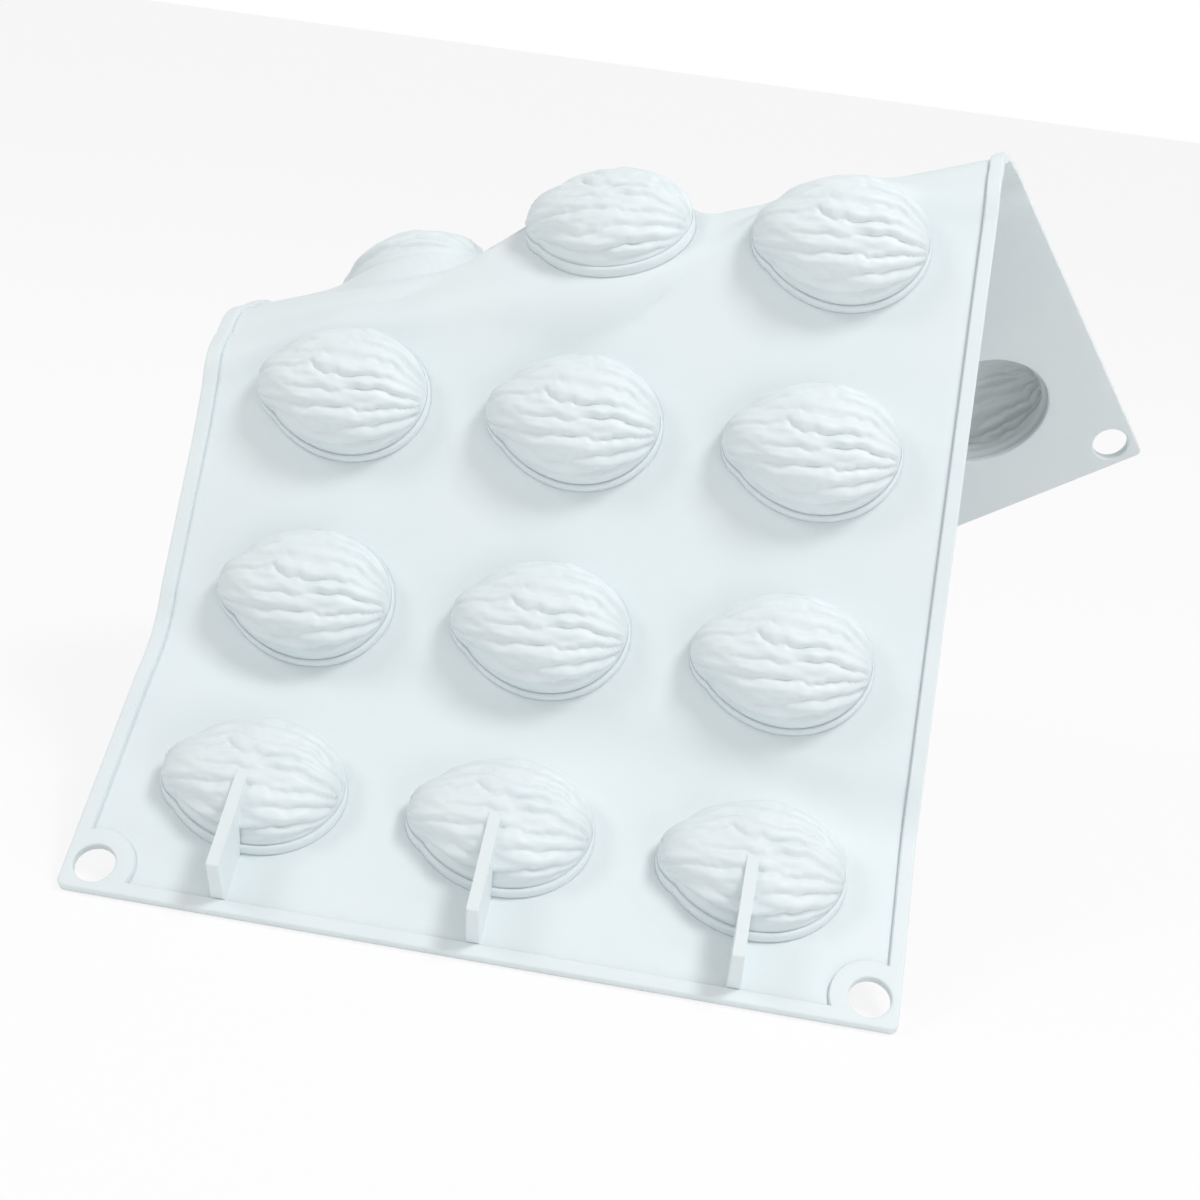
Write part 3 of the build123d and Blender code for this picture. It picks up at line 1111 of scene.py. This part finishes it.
@dataclass
class RowTree:
    """Geometry Nodes tree that wrinkles one moulded shape and repeats it across the sheet.

    Each scale holds how fast a noise changes along the cup and with the angle round it.

    Attributes:
        dome_half_width: half width of the dome that the angle is measured on.
        dome_height: height of that dome.
        drift_scale: scale of the slow sideways drift of the ridges.
        wiggle_scale: scale of their quick wiggle.
        breaks_scale: scale of the places where grooves fade or deepen.
        knots_scale: scale of the small knots on the shell.
        wiggle_share: size of the wiggle beside the drift.
        drift_middle: mean of the drift and wiggle together.
        noise_middle: mean of one noise.
        break_contrast: how much grooves fade and deepen.
        break_level: mean depth of the grooves.
        least_break: least depth of the grooves.
        end_start: distance past the centre, towards the tip, where wrinkles are shallowest.
        end_run: distance over which they reach their full depth.
        end_gain: depth that they gain over that distance.
        end_level: depth that they have at its start.
        flank_height: sine of the angle of the long groove low on each flank.
        flank_width: width of that groove, as a sine.
        flank_depth: depth of that groove.
        groove_floor: how blunt the bottom of a groove is.
        groove_power: how broad the ridges are beside the grooves.
        groove_level: height that ridges and grooves are counted from.
    """

    dome_half_width: float = 14.5
    dome_height: float = 12.7
    drift_scale: tuple[float, float] = (0.06, 0.9)
    wiggle_scale: tuple[float, float] = (0.26, 2.2)
    breaks_scale: tuple[float, float] = (0.12, 3.2)
    knots_scale: tuple[float, float] = (0.13, 5.0)
    noise_middle: float = 0.5
    wiggle_share: float = 0.42
    drift_middle: float = 0.71
    break_contrast: float = 3.0
    break_level: float = 0.9
    least_break: float = 0.15
    end_start: float = 15.0
    end_run: float = 20.0
    end_gain: float = 0.75
    end_level: float = 0.35
    flank_height: float = 0.34
    flank_width: float = 0.11
    flank_depth: float = 0.5
    groove_floor: float = 0.01
    groove_power: float = 0.25
    groove_level: float = 0.74

    def build(self) -> bpy.types.NodeTree:
        """Builds the tree with its named inputs.

        Returns:
            The node tree.
        """
        tree = bpy.data.node_groups.new("moulded_row", "GeometryNodeTree")
        self.tree = tree
        tree.interface.new_socket("Shape", in_out="INPUT", socket_type="NodeSocketGeometry")
        for name, kind in (("Count", "Int"), ("Pitch", "Float"), ("Ridges", "Float"), ("Depth", "Float"),
                           ("Waviness", "Float"), ("Seed", "Float"), ("Outer finish", "Material"),
                           ("Cavity finish", "Material")):
            tree.interface.new_socket(name, in_out="INPUT", socket_type=f"NodeSocket{kind}")
        tree.interface.new_socket("Row", in_out="OUTPUT", socket_type="NodeSocketGeometry")
        self.given = tree.nodes.new("NodeGroupInput")
        row = self.repeated(self.wrinkled())
        done = tree.nodes.new("NodeGroupOutput")
        tree.links.new(row, done.inputs["Row"])
        return tree

    def maths(self, operation: str, first: object, second: object = 0.0) -> bpy.types.NodeSocket:
        """Adds a math node whose inputs are sockets or numbers, and returns its output.

        Args:
            operation: name of the operation.
            first: first input.
            second: second input.

        Returns:
            The result.
        """
        node = self.tree.nodes.new("ShaderNodeMath")
        node.operation = operation
        for socket, value in zip(node.inputs, (first, second)):
            if isinstance(value, bpy.types.NodeSocket):
                self.tree.links.new(value, socket)
            else:
                socket.default_value = value
        return node.outputs[0]

    def noise(self, along: bpy.types.NodeSocket, angle: bpy.types.NodeSocket,
              scale: tuple[float, float]) -> bpy.types.NodeSocket:
        """Adds a seeded noise texture over the dome.

        Args:
            along: place along the cup.
            angle: angle round the cup's long axis.
            scale: how fast the noise changes with each of the two.

        Returns:
            The noise's value.
        """
        tree = self.tree
        x = self.maths("MULTIPLY", along, scale[0])
        y = self.maths("MULTIPLY", angle, scale[1])
        place = tree.nodes.new("ShaderNodeCombineXYZ")
        for socket, value in zip(place.inputs, (x, y, self.given.outputs["Seed"])):
            tree.links.new(value, socket)
        node = tree.nodes.new("ShaderNodeTexNoise")
        node.inputs["Scale"].default_value = 1.0
        node.inputs["Detail"].default_value = 1.0
        tree.links.new(place.outputs[0], node.inputs["Vector"])
        return node.outputs[0]

    def wrinkled(self) -> bpy.types.NodeSocket:
        """Lengthwise wrinkles that meet at both ends of the shell.

        Returns:
            The wrinkled shape.
        """
        tree, maths, given = self.tree, self.maths, self.given
        place = tree.nodes.new("ShaderNodeSeparateXYZ")
        tree.links.new(tree.nodes.new("GeometryNodeInputPosition").outputs[0], place.inputs[0])
        across = maths("DIVIDE", place.outputs[1], self.dome_half_width)
        up = maths("DIVIDE", place.outputs[2], self.dome_height)
        angle = maths("ARCTAN2", up, across)
        along = place.outputs[0]
        drift = self.noise(along, angle, self.drift_scale)
        wiggle = self.noise(along, angle, self.wiggle_scale)
        drift = maths("ADD", maths("MULTIPLY", wiggle, self.wiggle_share), drift)
        drift = maths("MULTIPLY", maths("SUBTRACT", drift, self.drift_middle), given.outputs["Waviness"])
        ridge = self.ridge(maths("MULTIPLY", angle, given.outputs["Ridges"]), drift)
        breaks = maths("SUBTRACT", self.noise(along, angle, self.breaks_scale), self.noise_middle)
        breaks = maths("ADD", maths("MULTIPLY", breaks, self.break_contrast), self.break_level)
        breaks = maths("MAXIMUM", breaks, self.least_break)
        ends = self.clamped(maths("DIVIDE", maths("ADD", along, self.end_start), self.end_run))
        ends = maths("ADD", maths("MULTIPLY", ends, self.end_gain), self.end_level)
        knots = maths("SUBTRACT", self.noise(along, angle, self.knots_scale), self.noise_middle)
        height = maths("ADD", maths("MULTIPLY", maths("MULTIPLY", ridge, breaks), ends), knots)
        flank = maths("SUBTRACT", maths("SINE", angle), self.flank_height)
        flank = maths("DIVIDE", flank, self.flank_width)
        flank = maths("EXPONENT", maths("MULTIPLY", maths("MULTIPLY", flank, flank), -1.0))
        height = maths("SUBTRACT", height, maths("MULTIPLY", flank, self.flank_depth))
        share = tree.nodes.new("GeometryNodeInputNamedAttribute")
        share.data_type = "FLOAT"
        share.inputs["Name"].default_value = "wrinkle"
        height = maths("MULTIPLY", height, share.outputs["Attribute"])
        height = maths("MULTIPLY", height, given.outputs["Depth"])
        outward = tree.nodes.new("ShaderNodeVectorMath")
        outward.operation = "SCALE"
        tree.links.new(tree.nodes.new("GeometryNodeInputNormal").outputs[0], outward.inputs[0])
        tree.links.new(height, outward.inputs["Scale"])
        moved = tree.nodes.new("GeometryNodeSetPosition")
        tree.links.new(given.outputs["Shape"], moved.inputs["Geometry"])
        tree.links.new(outward.outputs[0], moved.inputs["Offset"])
        return moved.outputs[0]

    def ridge(self, phase: bpy.types.NodeSocket, drift: bpy.types.NodeSocket) -> bpy.types.NodeSocket:
        """Broad ridges with narrow grooves between them, shifted sideways by drift.

        Args:
            phase: angle times the number of ridges.
            drift: sideways shift of the ridges.

        Returns:
            The ridges' height.
        """
        wave = self.maths("SINE", self.maths("ADD", phase, drift))
        wave = self.maths("ADD", self.maths("MULTIPLY", wave, wave), self.groove_floor)
        return self.maths("SUBTRACT", self.maths("POWER", wave, self.groove_power), self.groove_level)

    def clamped(self, value: bpy.types.NodeSocket) -> bpy.types.NodeSocket:
        """Keeps a value between 0 and 1."""
        return self.maths("MAXIMUM", self.maths("MINIMUM", value, 1.0), 0.0)

    def repeated(self, shape: bpy.types.NodeSocket) -> bpy.types.NodeSocket:
        """A centred row of one shape, with its satin finish outside and, on cavity faces, a glossy finish
        whose darker colour is painted shade.

        Args:
            shape: the shape that the row repeats.

        Returns:
            The finished row.
        """
        tree, given = self.tree, self.given
        step = tree.nodes.new("ShaderNodeCombineXYZ")
        tree.links.new(given.outputs["Pitch"], step.inputs[0])
        start = tree.nodes.new("ShaderNodeCombineXYZ")
        gaps = self.maths("SUBTRACT", given.outputs["Count"], 1.0)
        reach = self.maths("MULTIPLY", self.maths("MULTIPLY", gaps, given.outputs["Pitch"]), -0.5)
        tree.links.new(reach, start.inputs[0])
        line = tree.nodes.new("GeometryNodeMeshLine")
        tree.links.new(given.outputs["Count"], line.inputs["Count"])
        tree.links.new(start.outputs[0], line.inputs["Start Location"])
        tree.links.new(step.outputs[0], line.inputs["Offset"])
        copies = tree.nodes.new("GeometryNodeInstanceOnPoints")
        tree.links.new(line.outputs[0], copies.inputs["Points"])
        tree.links.new(shape, copies.inputs["Instance"])
        real = tree.nodes.new("GeometryNodeRealizeInstances")
        tree.links.new(copies.outputs[0], real.inputs[0])
        outer = tree.nodes.new("GeometryNodeSetMaterial")
        tree.links.new(real.outputs[0], outer.inputs["Geometry"])
        tree.links.new(given.outputs["Outer finish"], outer.inputs["Material"])
        # Cavity faces take the glossy material whose darker base colour is painted shade.
        cavity = tree.nodes.new("GeometryNodeInputNamedAttribute")
        cavity.data_type = "BOOLEAN"
        cavity.inputs["Name"].default_value = "cavity"
        inner = tree.nodes.new("GeometryNodeSetMaterial")
        tree.links.new(outer.outputs[0], inner.inputs["Geometry"])
        tree.links.new(cavity.outputs["Attribute"], inner.inputs["Selection"])
        tree.links.new(given.outputs["Cavity finish"], inner.inputs["Material"])
        return inner.outputs[0]


@dataclass
class MouldedRow:
    """Runs the row tree on a shape and returns plain meshes."""

    satin: bpy.types.Material
    gloss: bpy.types.Material
    pitch: float
    ridges: float = 11.0
    depth: float = 1.6
    waviness: float = 6.0
    seed: float = 3.7

    def __post_init__(self) -> None:
        """Builds the tree once."""
        self.tree = RowTree().build()

    def mesh(self, shape: bpy.types.Mesh, count: int, depth: float) -> bpy.types.Mesh:
        """A row of count copies of a shape.

        Args:
            shape: the mesh of one copy.
            count: how many copies.
            depth: depth of the wrinkles, 0 for none.

        Returns:
            A plain mesh, in the shape's own units.
        """
        carrier = new_object("row_carrier", shape)
        modifier = carrier.modifiers.new("moulded_row", "NODES")
        modifier.node_group = self.tree
        values = {"Count": count, "Pitch": self.pitch, "Ridges": self.ridges, "Depth": depth,
                  "Waviness": self.waviness, "Seed": self.seed, "Outer finish": self.satin,
                  "Cavity finish": self.gloss}
        for item in self.tree.interface.items_tree:
            if item.name in values:
                modifier[item.identifier] = values[item.name]
        view = bpy.context.evaluated_depsgraph_get()
        made = bpy.data.meshes.new_from_object(carrier.evaluated_get(view), preserve_all_data_layers=True,
                                               depsgraph=view)
        carrier.modifiers.remove(modifier)
        bpy.data.objects.remove(carrier)
        return made


@dataclass
class WalnutCups:
    """The eighteen cups: thin half shells of a walnut, wrinkled outside and inside.

    Attributes:
        seam_step: width that the seam takes from the dome's base.
        fullness: power that rounds the dome, smaller for a fuller one.
        mouth_floor: height at which the hollow meets the mouth.
        least_seam: share of the seam's width where it is slightest.
        seam_lean: how far the full seam leans towards the round end.
        seam_offset: shift of the full seam's start.
        seam_run: run over which the seam grows to its full width.
        filled_from: inset from which a slight seam is filled up to its crest.
        skirt: inset and height of each ring from the foot over the seam.
        mouth: inset and height of each ring from the hollow to the mouth.
        hollow_gap: clearance of the hollow's base within the wall.
        hollow_wrinkle: share of the wrinkles in the hollow, negative as it faces inwards.
        dome_fade: rings over which the dome's wrinkles begin.
        hollow_fade: rings over which the hollow's wrinkles begin.
    """

    folds: FoldMap
    rows: MouldedRow
    height: float = 13.0
    wall: float = 1.2
    seam_step: float = 1.1
    fullness: float = 0.46
    mouth_floor: float = 1.15
    least_seam: float = 0.28
    seam_lean: float = 0.25
    seam_offset: float = 0.15
    seam_run: float = 1.1
    filled_from: float = 0.8
    hollow_gap: float = 0.15
    hollow_wrinkle: float = -0.95
    dome_fade: float = 9.0
    hollow_fade: float = 6.0
    skirt: tuple[tuple[float, float], ...] = (
        (-0.02, -0.16), (0.0, 0.35), (0.02, 1.1), (0.09, 1.65), (0.26, 2.08), (0.52, 2.3),
        (0.8, 2.32), (1.0, 2.2), (1.15, 1.98), (1.24, 1.7))
    mouth: tuple[tuple[float, float], ...] = ((1.9, 1.16), (1.5, 1.1), (1.28, 0.85), (1.2, 0.4), (1.2, 0.0))
    points_round: int = 168
    dome_rings: int = 60
    hollow_rings: int = 34

    def dome_z(self, share: float, inset: float, floor: float | np.ndarray) -> np.ndarray:
        """Height of the dome where its plan has shrunk to a share of its base.

        Args:
            share: share of the base's size, 1 at the base and 0 at the crown.
            inset: how far the surface lies inside the dome's outside.
            floor: height at the base.

        Returns:
            The height at each place.
        """
        rise = np.maximum(1 - np.asarray(share, float) ** 2, 0) ** self.fullness
        return floor + (self.height - inset - floor) * rise

    def seam_share(self) -> np.ndarray:
        """Width of the seam round the cup: full on its front flank and slight at the tip and the back.

        Returns:
            A share of the full width for each point round the outline.
        """
        outward = self.folds.egg.ring(self.points_round) - self.folds.egg.ring(self.points_round, 1.0)
        side = self.seam_lean * outward[:, 0] - outward[:, 1] + self.seam_offset
        side = smooth(side / self.seam_run)
        return self.least_seam + (1 - self.least_seam) * side

    def rings(self) -> list[tuple[np.ndarray, np.ndarray, float, bool]]:
        """Rings of one cup from its foot over the dome and back under it to the mouth.

        Returns:
            For each ring its (x, y) places, its heights, its share of the wrinkles and whether it
            is in the cavity. The last ring outside the cavity is the crown, and so is the first in it.
        """
        egg, count = self.folds.egg, self.points_round
        outline, seam = egg.ring(count), self.seam_share()
        crest = max(z for _, z in self.skirt)
        made = []
        for inset, z in self.skirt:
            places = outline + (egg.ring(count, inset) - outline) * seam[:, None]
            filled = z + (crest - z) * (1 - seam) if inset > self.filled_from else np.full(count, z)
            made.append((places, filled, 0.0, False))
        base, floor = made[-1][0], made[-1][1]
        for step in range(1, self.dome_rings):
            turn = math.pi / 2 * step / self.dome_rings
            z = self.dome_z(math.cos(turn), 0.0, floor)
            made.append((base * math.cos(turn), z, float(smooth(np.array(step / self.dome_fade))), False))
        base = egg.ring(count, self.seam_step + self.wall + self.hollow_gap)
        for step in reversed(range(1, self.hollow_rings)):
            turn = math.pi / 2 * step / self.hollow_rings
            z = np.full(count, self.dome_z(math.cos(turn), self.wall, self.mouth_floor))
            share = self.hollow_wrinkle * float(smooth(np.array(step / self.hollow_fade)))
            made.append((base * math.cos(turn), z, share, True))
        for inset, z in self.mouth:
            made.append((egg.ring(count, inset), np.full(count, z), 0.0, True))
        return made

    def shape(self) -> bpy.types.Mesh:
        """One smooth cup about the origin, in millimetres, with its wrinkle and cavity shares.

        Returns:
            A closed mesh.
        """
        points, shares, cavity, faces = [], [], [], []
        count = self.points_round
        previous, was_inside = None, False

        def band(first: int, second: int, inside: bool) -> None:
            """Joins two rings with quads."""
            for i in range(count):
                j = (i + 1) % count
                faces.append((first + i, first + j, second + j, second + i))
                cavity.append(inside)

        def crown(ring: int, height: float, share: float, inside: bool) -> None:
            """Closes a ring to a point on the cup's axis.

            Args:
                ring: number of the ring's first point.
                height: height of the point.
                share: share of the wrinkles there.
                inside: whether the faces are in the cavity.
            """
            points.append((0.0, 0.0, height))
            shares.append(share)
            for i in range(count):
                faces.append((ring + i, ring + (i + 1) % count, len(points) - 1))
                cavity.append(inside)

        for places, z, share, inside in self.rings():
            start = len(points)
            points.extend((x, y, h) for (x, y), h in zip(places, z))
            shares.extend([share] * count)
            if inside and not was_inside:
                crown(previous, self.height, 1.0, False)
                crown(start, self.height - self.wall, self.hollow_wrinkle, True)
            elif previous is not None:
                band(previous, start, inside)
            previous, was_inside = start, inside
        band(previous, 0, False)
        mesh = bpy.data.meshes.new("walnut_cup")
        mesh.from_pydata(points, [], faces)
        mesh.attributes.new("wrinkle", "FLOAT", "POINT").data.foreach_set("value", shares)
        mesh.attributes.new("cavity", "BOOLEAN", "FACE").data.foreach_set("value", cavity)
        self.face_outwards(mesh)
        mesh.shade_smooth()
        return mesh

    def face_outwards(self, mesh: bpy.types.Mesh) -> None:
        """Turns all faces of a closed mesh outwards.

        Args:
            mesh: the mesh, changed in place.
        """
        work = bmesh.new()
        work.from_mesh(mesh)
        bmesh.ops.recalc_face_normals(work, faces=work.faces[:])
        work.to_mesh(mesh)
        work.free()

    def build(self) -> None:
        """Makes the cups of each row, one mesh for each body."""
        shape = self.shape()
        for row in range(1, ROWS + 1):
            groups: dict[str, list[Column]] = {}
            for column in Column:
                groups.setdefault(self.folds.body_of_cup(row, column), []).append(column)
            for body, columns in groups.items():
                mesh = self.rows.mesh(shape, len(columns), self.rows.depth)
                middle = sum(self.folds.column_u(c) for c in columns) / len(columns)
                shift = Matrix.Translation((middle, self.folds.row_v(row), 0.0))
                mesh.transform(self.folds.body_matrix(body) @ shift)
                words = "_".join(c.word for c in columns) if len(columns) < len(Column) else "all"
                piece = new_piece(f"walnut_cups_row_{row}_{words}", mesh)
                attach(piece, body)
                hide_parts(*[f"walnut_cup_row_{row}_{c.word}" for c in columns])
                LOG.info("%s: %d faces on %s", piece.name, len(mesh.polygons), body)


@dataclass
class Feet:
    """Upright plates that run from the outermost cups to the end rims.

    Attributes:
        start: distance from the cup's centre where the plate begins.
        slant: how far the toe's top stands back from its foot, towards the cup.
        top_thickness: thickness at the top, less than at the foot.
        sink: depth of the plate's foot below the web's outer face.
        seam_overlap: how far the plate's foot reaches under the seam.
        seam_lift: how far inside the cup's outline the plate meets the seam, and how high.
        dome_floor: height of the dome's base under the plate.
        dome_sink: depth of the plate below the dome's outside.
        dome_from: share of the dome's base where the plate meets the dome.
        dome_points: number of points along the dome.
        sharp_middle: distance from the cup's centre within which edges stay sharp.
        toe_from: distance from the cup's centre where the toe begins.
        edge_margin: height above the rim from which edges are rounded.
        top_margin: depth below the top from which an edge counts as on the dome.
    """

    folds: FoldMap
    rows: MouldedRow
    cups: WalnutCups
    thickness: float = 3.0
    top: float = 13.0
    start: float = 3.0
    slant: float = 1.0
    top_thickness: float = 2.5
    rim_width: float = 3.1
    rim_rise: float = 1.0
    rounding: float = 0.45
    sink: float = 0.4
    seam_overlap: float = 0.5
    seam_lift: tuple[float, float] = (0.75, 1.4)
    dome_floor: float = 1.7
    dome_sink: float = 0.65
    dome_from: float = 0.985
    dome_points: int = 16
    sharp_middle: float = 5.0
    toe_from: float = 26.0
    edge_margin: float = 0.2
    top_margin: float = 0.05
    rounding_steps: int = 3

    def profile(self) -> list[tuple[float, float]]:
        """Side outline of a front foot, from the cup's crown to the rim and back along the dome.

        Returns:
            Its (y, z) corners.
        """
        rim = self.rim_width - self.folds.row_v(1)
        seam = self.folds.egg.width / 2
        outline = [(-self.start, self.top), (rim + self.slant, self.top), (rim, self.rim_rise),
                   (rim, -self.sink), (-seam + self.seam_overlap, -self.sink),
                   (-seam + self.seam_lift[0], self.seam_lift[1])]
        dome = seam - self.cups.seam_step
        for share in np.linspace(self.dome_from, self.start / dome, self.dome_points):
            z = float(self.cups.dome_z(share, 0.0, self.dome_floor)) - self.dome_sink
            outline.append((float(-share * dome), z))
        return outline

    def shape(self, back: bool) -> bpy.types.Mesh:
        """One foot about its cup's centre, in millimetres.

        Args:
            back: whether it belongs to the back row, which mirrors the front row.

        Returns:
            A closed mesh with rounded edges.
        """
        side = -1 if back else 1
        work = bmesh.new()
        corners = [work.verts.new((-self.thickness / 2, y * side, z)) for y, z in self.profile()]
        plate = work.faces.new(corners)
        grown = bmesh.ops.extrude_face_region(work, geom=[plate])
        moved = [g for g in grown["geom"] if isinstance(g, bmesh.types.BMVert)]
        bmesh.ops.translate(work, verts=moved, vec=(self.thickness, 0, 0))
        for corner in work.verts:
            lean = (self.top - max(corner.co.z, 0.0)) / self.top
            thickness = self.top_thickness + (self.thickness - self.top_thickness) * lean
            corner.co.x *= thickness / self.thickness
        bmesh.ops.recalc_face_normals(work, faces=work.faces[:])
        low = self.rim_rise + self.edge_margin
        edges = [e for e in work.edges if any(v.co.z > low for v in e.verts)]
        edges = [e for e in edges if abs(e.verts[0].co.y) > self.sharp_middle]
        edges = [e for e in edges if all(v.co.z > low or abs(v.co.y) > self.toe_from for v in e.verts)]
        edges = [e for e in edges if not self.on_dome(e)]
        bmesh.ops.bevel(work, geom=edges, offset=self.rounding, segments=self.rounding_steps,
                        affect="EDGES", profile=0.5)
        bmesh.ops.triangulate(work, faces=[f for f in work.faces if len(f.verts) > 4])
        mesh = bpy.data.meshes.new("foot")
        work.to_mesh(mesh)
        work.free()
        mesh.attributes.new("wrinkle", "FLOAT", "POINT")
        mesh.attributes.new("cavity", "BOOLEAN", "FACE")
        return mesh

    def on_dome(self, edge: bmesh.types.BMEdge) -> bool:
        """Whether an edge of the plate lies inside the wall of its cup."""
        seam = self.folds.egg.width / 2
        return all(abs(v.co.y) < seam and v.co.z < self.top - self.top_margin for v in edge.verts)

    def build(self) -> None:
        """Makes both rows of feet."""
        for end, row, back in (("front", 1, False), ("back", 6, True)):
            body = f"row_{row}"
            mesh = self.rows.mesh(self.shape(back), len(Column), 0.0)
            shift = Matrix.Translation((self.folds.width / 2, self.folds.row_v(row), 0.0))
            mesh.transform(self.folds.body_matrix(body) @ shift)
            piece = new_piece(f"moulded_feet_{end}", mesh)
            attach(piece, body)
            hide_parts(*[f"foot_{end}_{c.word}" for c in Column])
            LOG.info("%s: %d faces on %s", piece.name, len(mesh.polygons), body)


@dataclass(frozen=True)
class Lamp:
    """A soft square lamp, with its place and size in metres and its power in watts."""

    name: str
    place: tuple[float, float, float]
    size: float
    power: float


LAMPS = (
    Lamp("key", (0.5, -0.3, 1.05), 0.3, 5.3),
    Lamp("side", (-0.85, -0.4, 0.85), 0.35, 2.2),
    Lamp("fill", (0.8, -0.9, 0.2), 0.6, 1.8),
)


@dataclass
class Studio:
    """White table, soft lights and the photograph's camera."""

    camera_place: tuple[float, float, float] = (0.024275, -0.448415, 0.195471)
    forward: tuple[float, float, float] = (-0.082341, 0.950453, -0.299767)
    right: tuple[float, float, float] = (0.984267, 0.124737, 0.125134)
    lens: float = 59.99
    sensor: float = 36.0
    floor_size: float = 8.0
    floor_whiteness: float = 0.84
    floor_paint: tuple[float, float, float, float] = (0.93, 0.93, 0.93, 1.0)
    floor_roughness: float = 0.9
    white: tuple[float, float, float, float] = (1.0, 1.0, 1.0, 1.0)
    world_strength: float = 0.52
    aim: tuple[float, float, float] = (0.0, 0.0, 0.08)
    nearest: float = 0.01

    def seen(self, tree: bpy.types.NodeTree) -> bpy.types.NodeSocket:
        """Adds nodes that give 1 to the camera and to what it sees reflected or through glass.

        Args:
            tree: the node tree.

        Returns:
            The socket that gives 1 or 0.
        """
        rays = tree.nodes.new("ShaderNodeLightPath")
        total = rays.outputs["Is Camera Ray"]
        for kind in ("Is Glossy Ray", "Is Transmission Ray"):
            both = tree.nodes.new("ShaderNodeMath")
            both.operation = "MAXIMUM"
            tree.links.new(total, both.inputs[0])
            tree.links.new(rays.outputs[kind], both.inputs[1])
            total = both.outputs[0]
        return total

    def floor(self) -> None:
        """Plain white table that keeps the mold's shadow."""
        half = self.floor_size / 2
        mesh = bpy.data.meshes.new("table")
        mesh.from_pydata([(-half, -half, 0), (half, -half, 0), (half, half, 0), (-half, half, 0)], [],
                         [(0, 1, 2, 3)])
        table = new_object("table", mesh)
        material = bpy.data.materials.new("white_table")
        material.use_nodes = True
        nodes, links = material.node_tree.nodes, material.node_tree.links
        paint = nodes["Principled BSDF"]
        paint.inputs["Base Color"].default_value = self.floor_paint
        paint.inputs["Roughness"].default_value = self.floor_roughness
        glow = nodes.new("ShaderNodeEmission")
        glow.inputs["Strength"].default_value = 1.0
        share = nodes.new("ShaderNodeMath")
        share.operation = "MULTIPLY"
        share.inputs[1].default_value = self.floor_whiteness
        links.new(self.seen(material.node_tree), share.inputs[0])
        mix = nodes.new("ShaderNodeMixShader")
        links.new(share.outputs[0], mix.inputs[0])
        links.new(paint.outputs[0], mix.inputs[1])
        links.new(glow.outputs[0], mix.inputs[2])
        links.new(mix.outputs[0], nodes["Material Output"].inputs["Surface"])
        mesh.materials.append(material)

    def world(self) -> None:
        """Soft light from all round, white where the camera sees it."""
        world = bpy.data.worlds.new("studio")
        bpy.context.scene.world = world
        world.use_nodes = True
        nodes, links = world.node_tree.nodes, world.node_tree.links
        light = nodes["Background"]
        light.inputs["Color"].default_value = self.white
        light.inputs["Strength"].default_value = self.world_strength
        white = nodes.new("ShaderNodeBackground")
        white.inputs["Color"].default_value = self.white
        mix = nodes.new("ShaderNodeMixShader")
        links.new(self.seen(world.node_tree), mix.inputs[0])
        links.new(light.outputs[0], mix.inputs[1])
        links.new(white.outputs[0], mix.inputs[2])
        links.new(mix.outputs[0], nodes["World Output"].inputs["Surface"])

    def light(self, lamp: Lamp) -> None:
        """Adds a lamp that looks at the mold.

        Args:
            lamp: the lamp's place, size and power.
        """
        data = bpy.data.lights.new(lamp.name, "AREA")
        data.size = lamp.size
        data.energy = lamp.power
        made = new_object(lamp.name, data)
        made.location = lamp.place
        ahead = Vector(self.aim) - Vector(lamp.place)
        made.rotation_euler = ahead.to_track_quat("-Z", "Y").to_euler()

    def camera(self) -> None:
        """Camera at the photograph's place and angle."""
        data = bpy.data.cameras.new("camera")
        data.lens = self.lens
        data.sensor_width = self.sensor
        data.clip_start = self.nearest
        camera = new_object("camera", data)
        ahead, right = Vector(self.forward).normalized(), Vector(self.right).normalized()
        up = right.cross(ahead).normalized()
        axes = Matrix((right, up, -ahead)).transposed()
        camera.matrix_world = Matrix.Translation(self.camera_place) @ axes.to_4x4()
        bpy.context.scene.camera = camera

    def build(self) -> None:
        """Sets up the studio."""
        self.floor()
        self.world()
        for lamp in LAMPS:
            self.light(lamp)
        self.camera()
        bpy.context.scene.view_settings.view_transform = "Standard"


def main() -> None:
    """Builds the mold's pieces in order."""
    logging.basicConfig(level=logging.INFO, format="%(message)s")
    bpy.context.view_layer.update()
    Studio().build()
    satin, gloss = SATIN.material(), GLOSS_AND_PAINTED_SHADE.material()
    folds = FoldMap()
    Sheet(folds, satin).build()
    rows = MouldedRow(satin, gloss, folds.column_pitch)
    cups = WalnutCups(folds, rows)
    cups.build()
    Feet(folds, rows, cups).build()


if __name__ == "__main__":
    main()
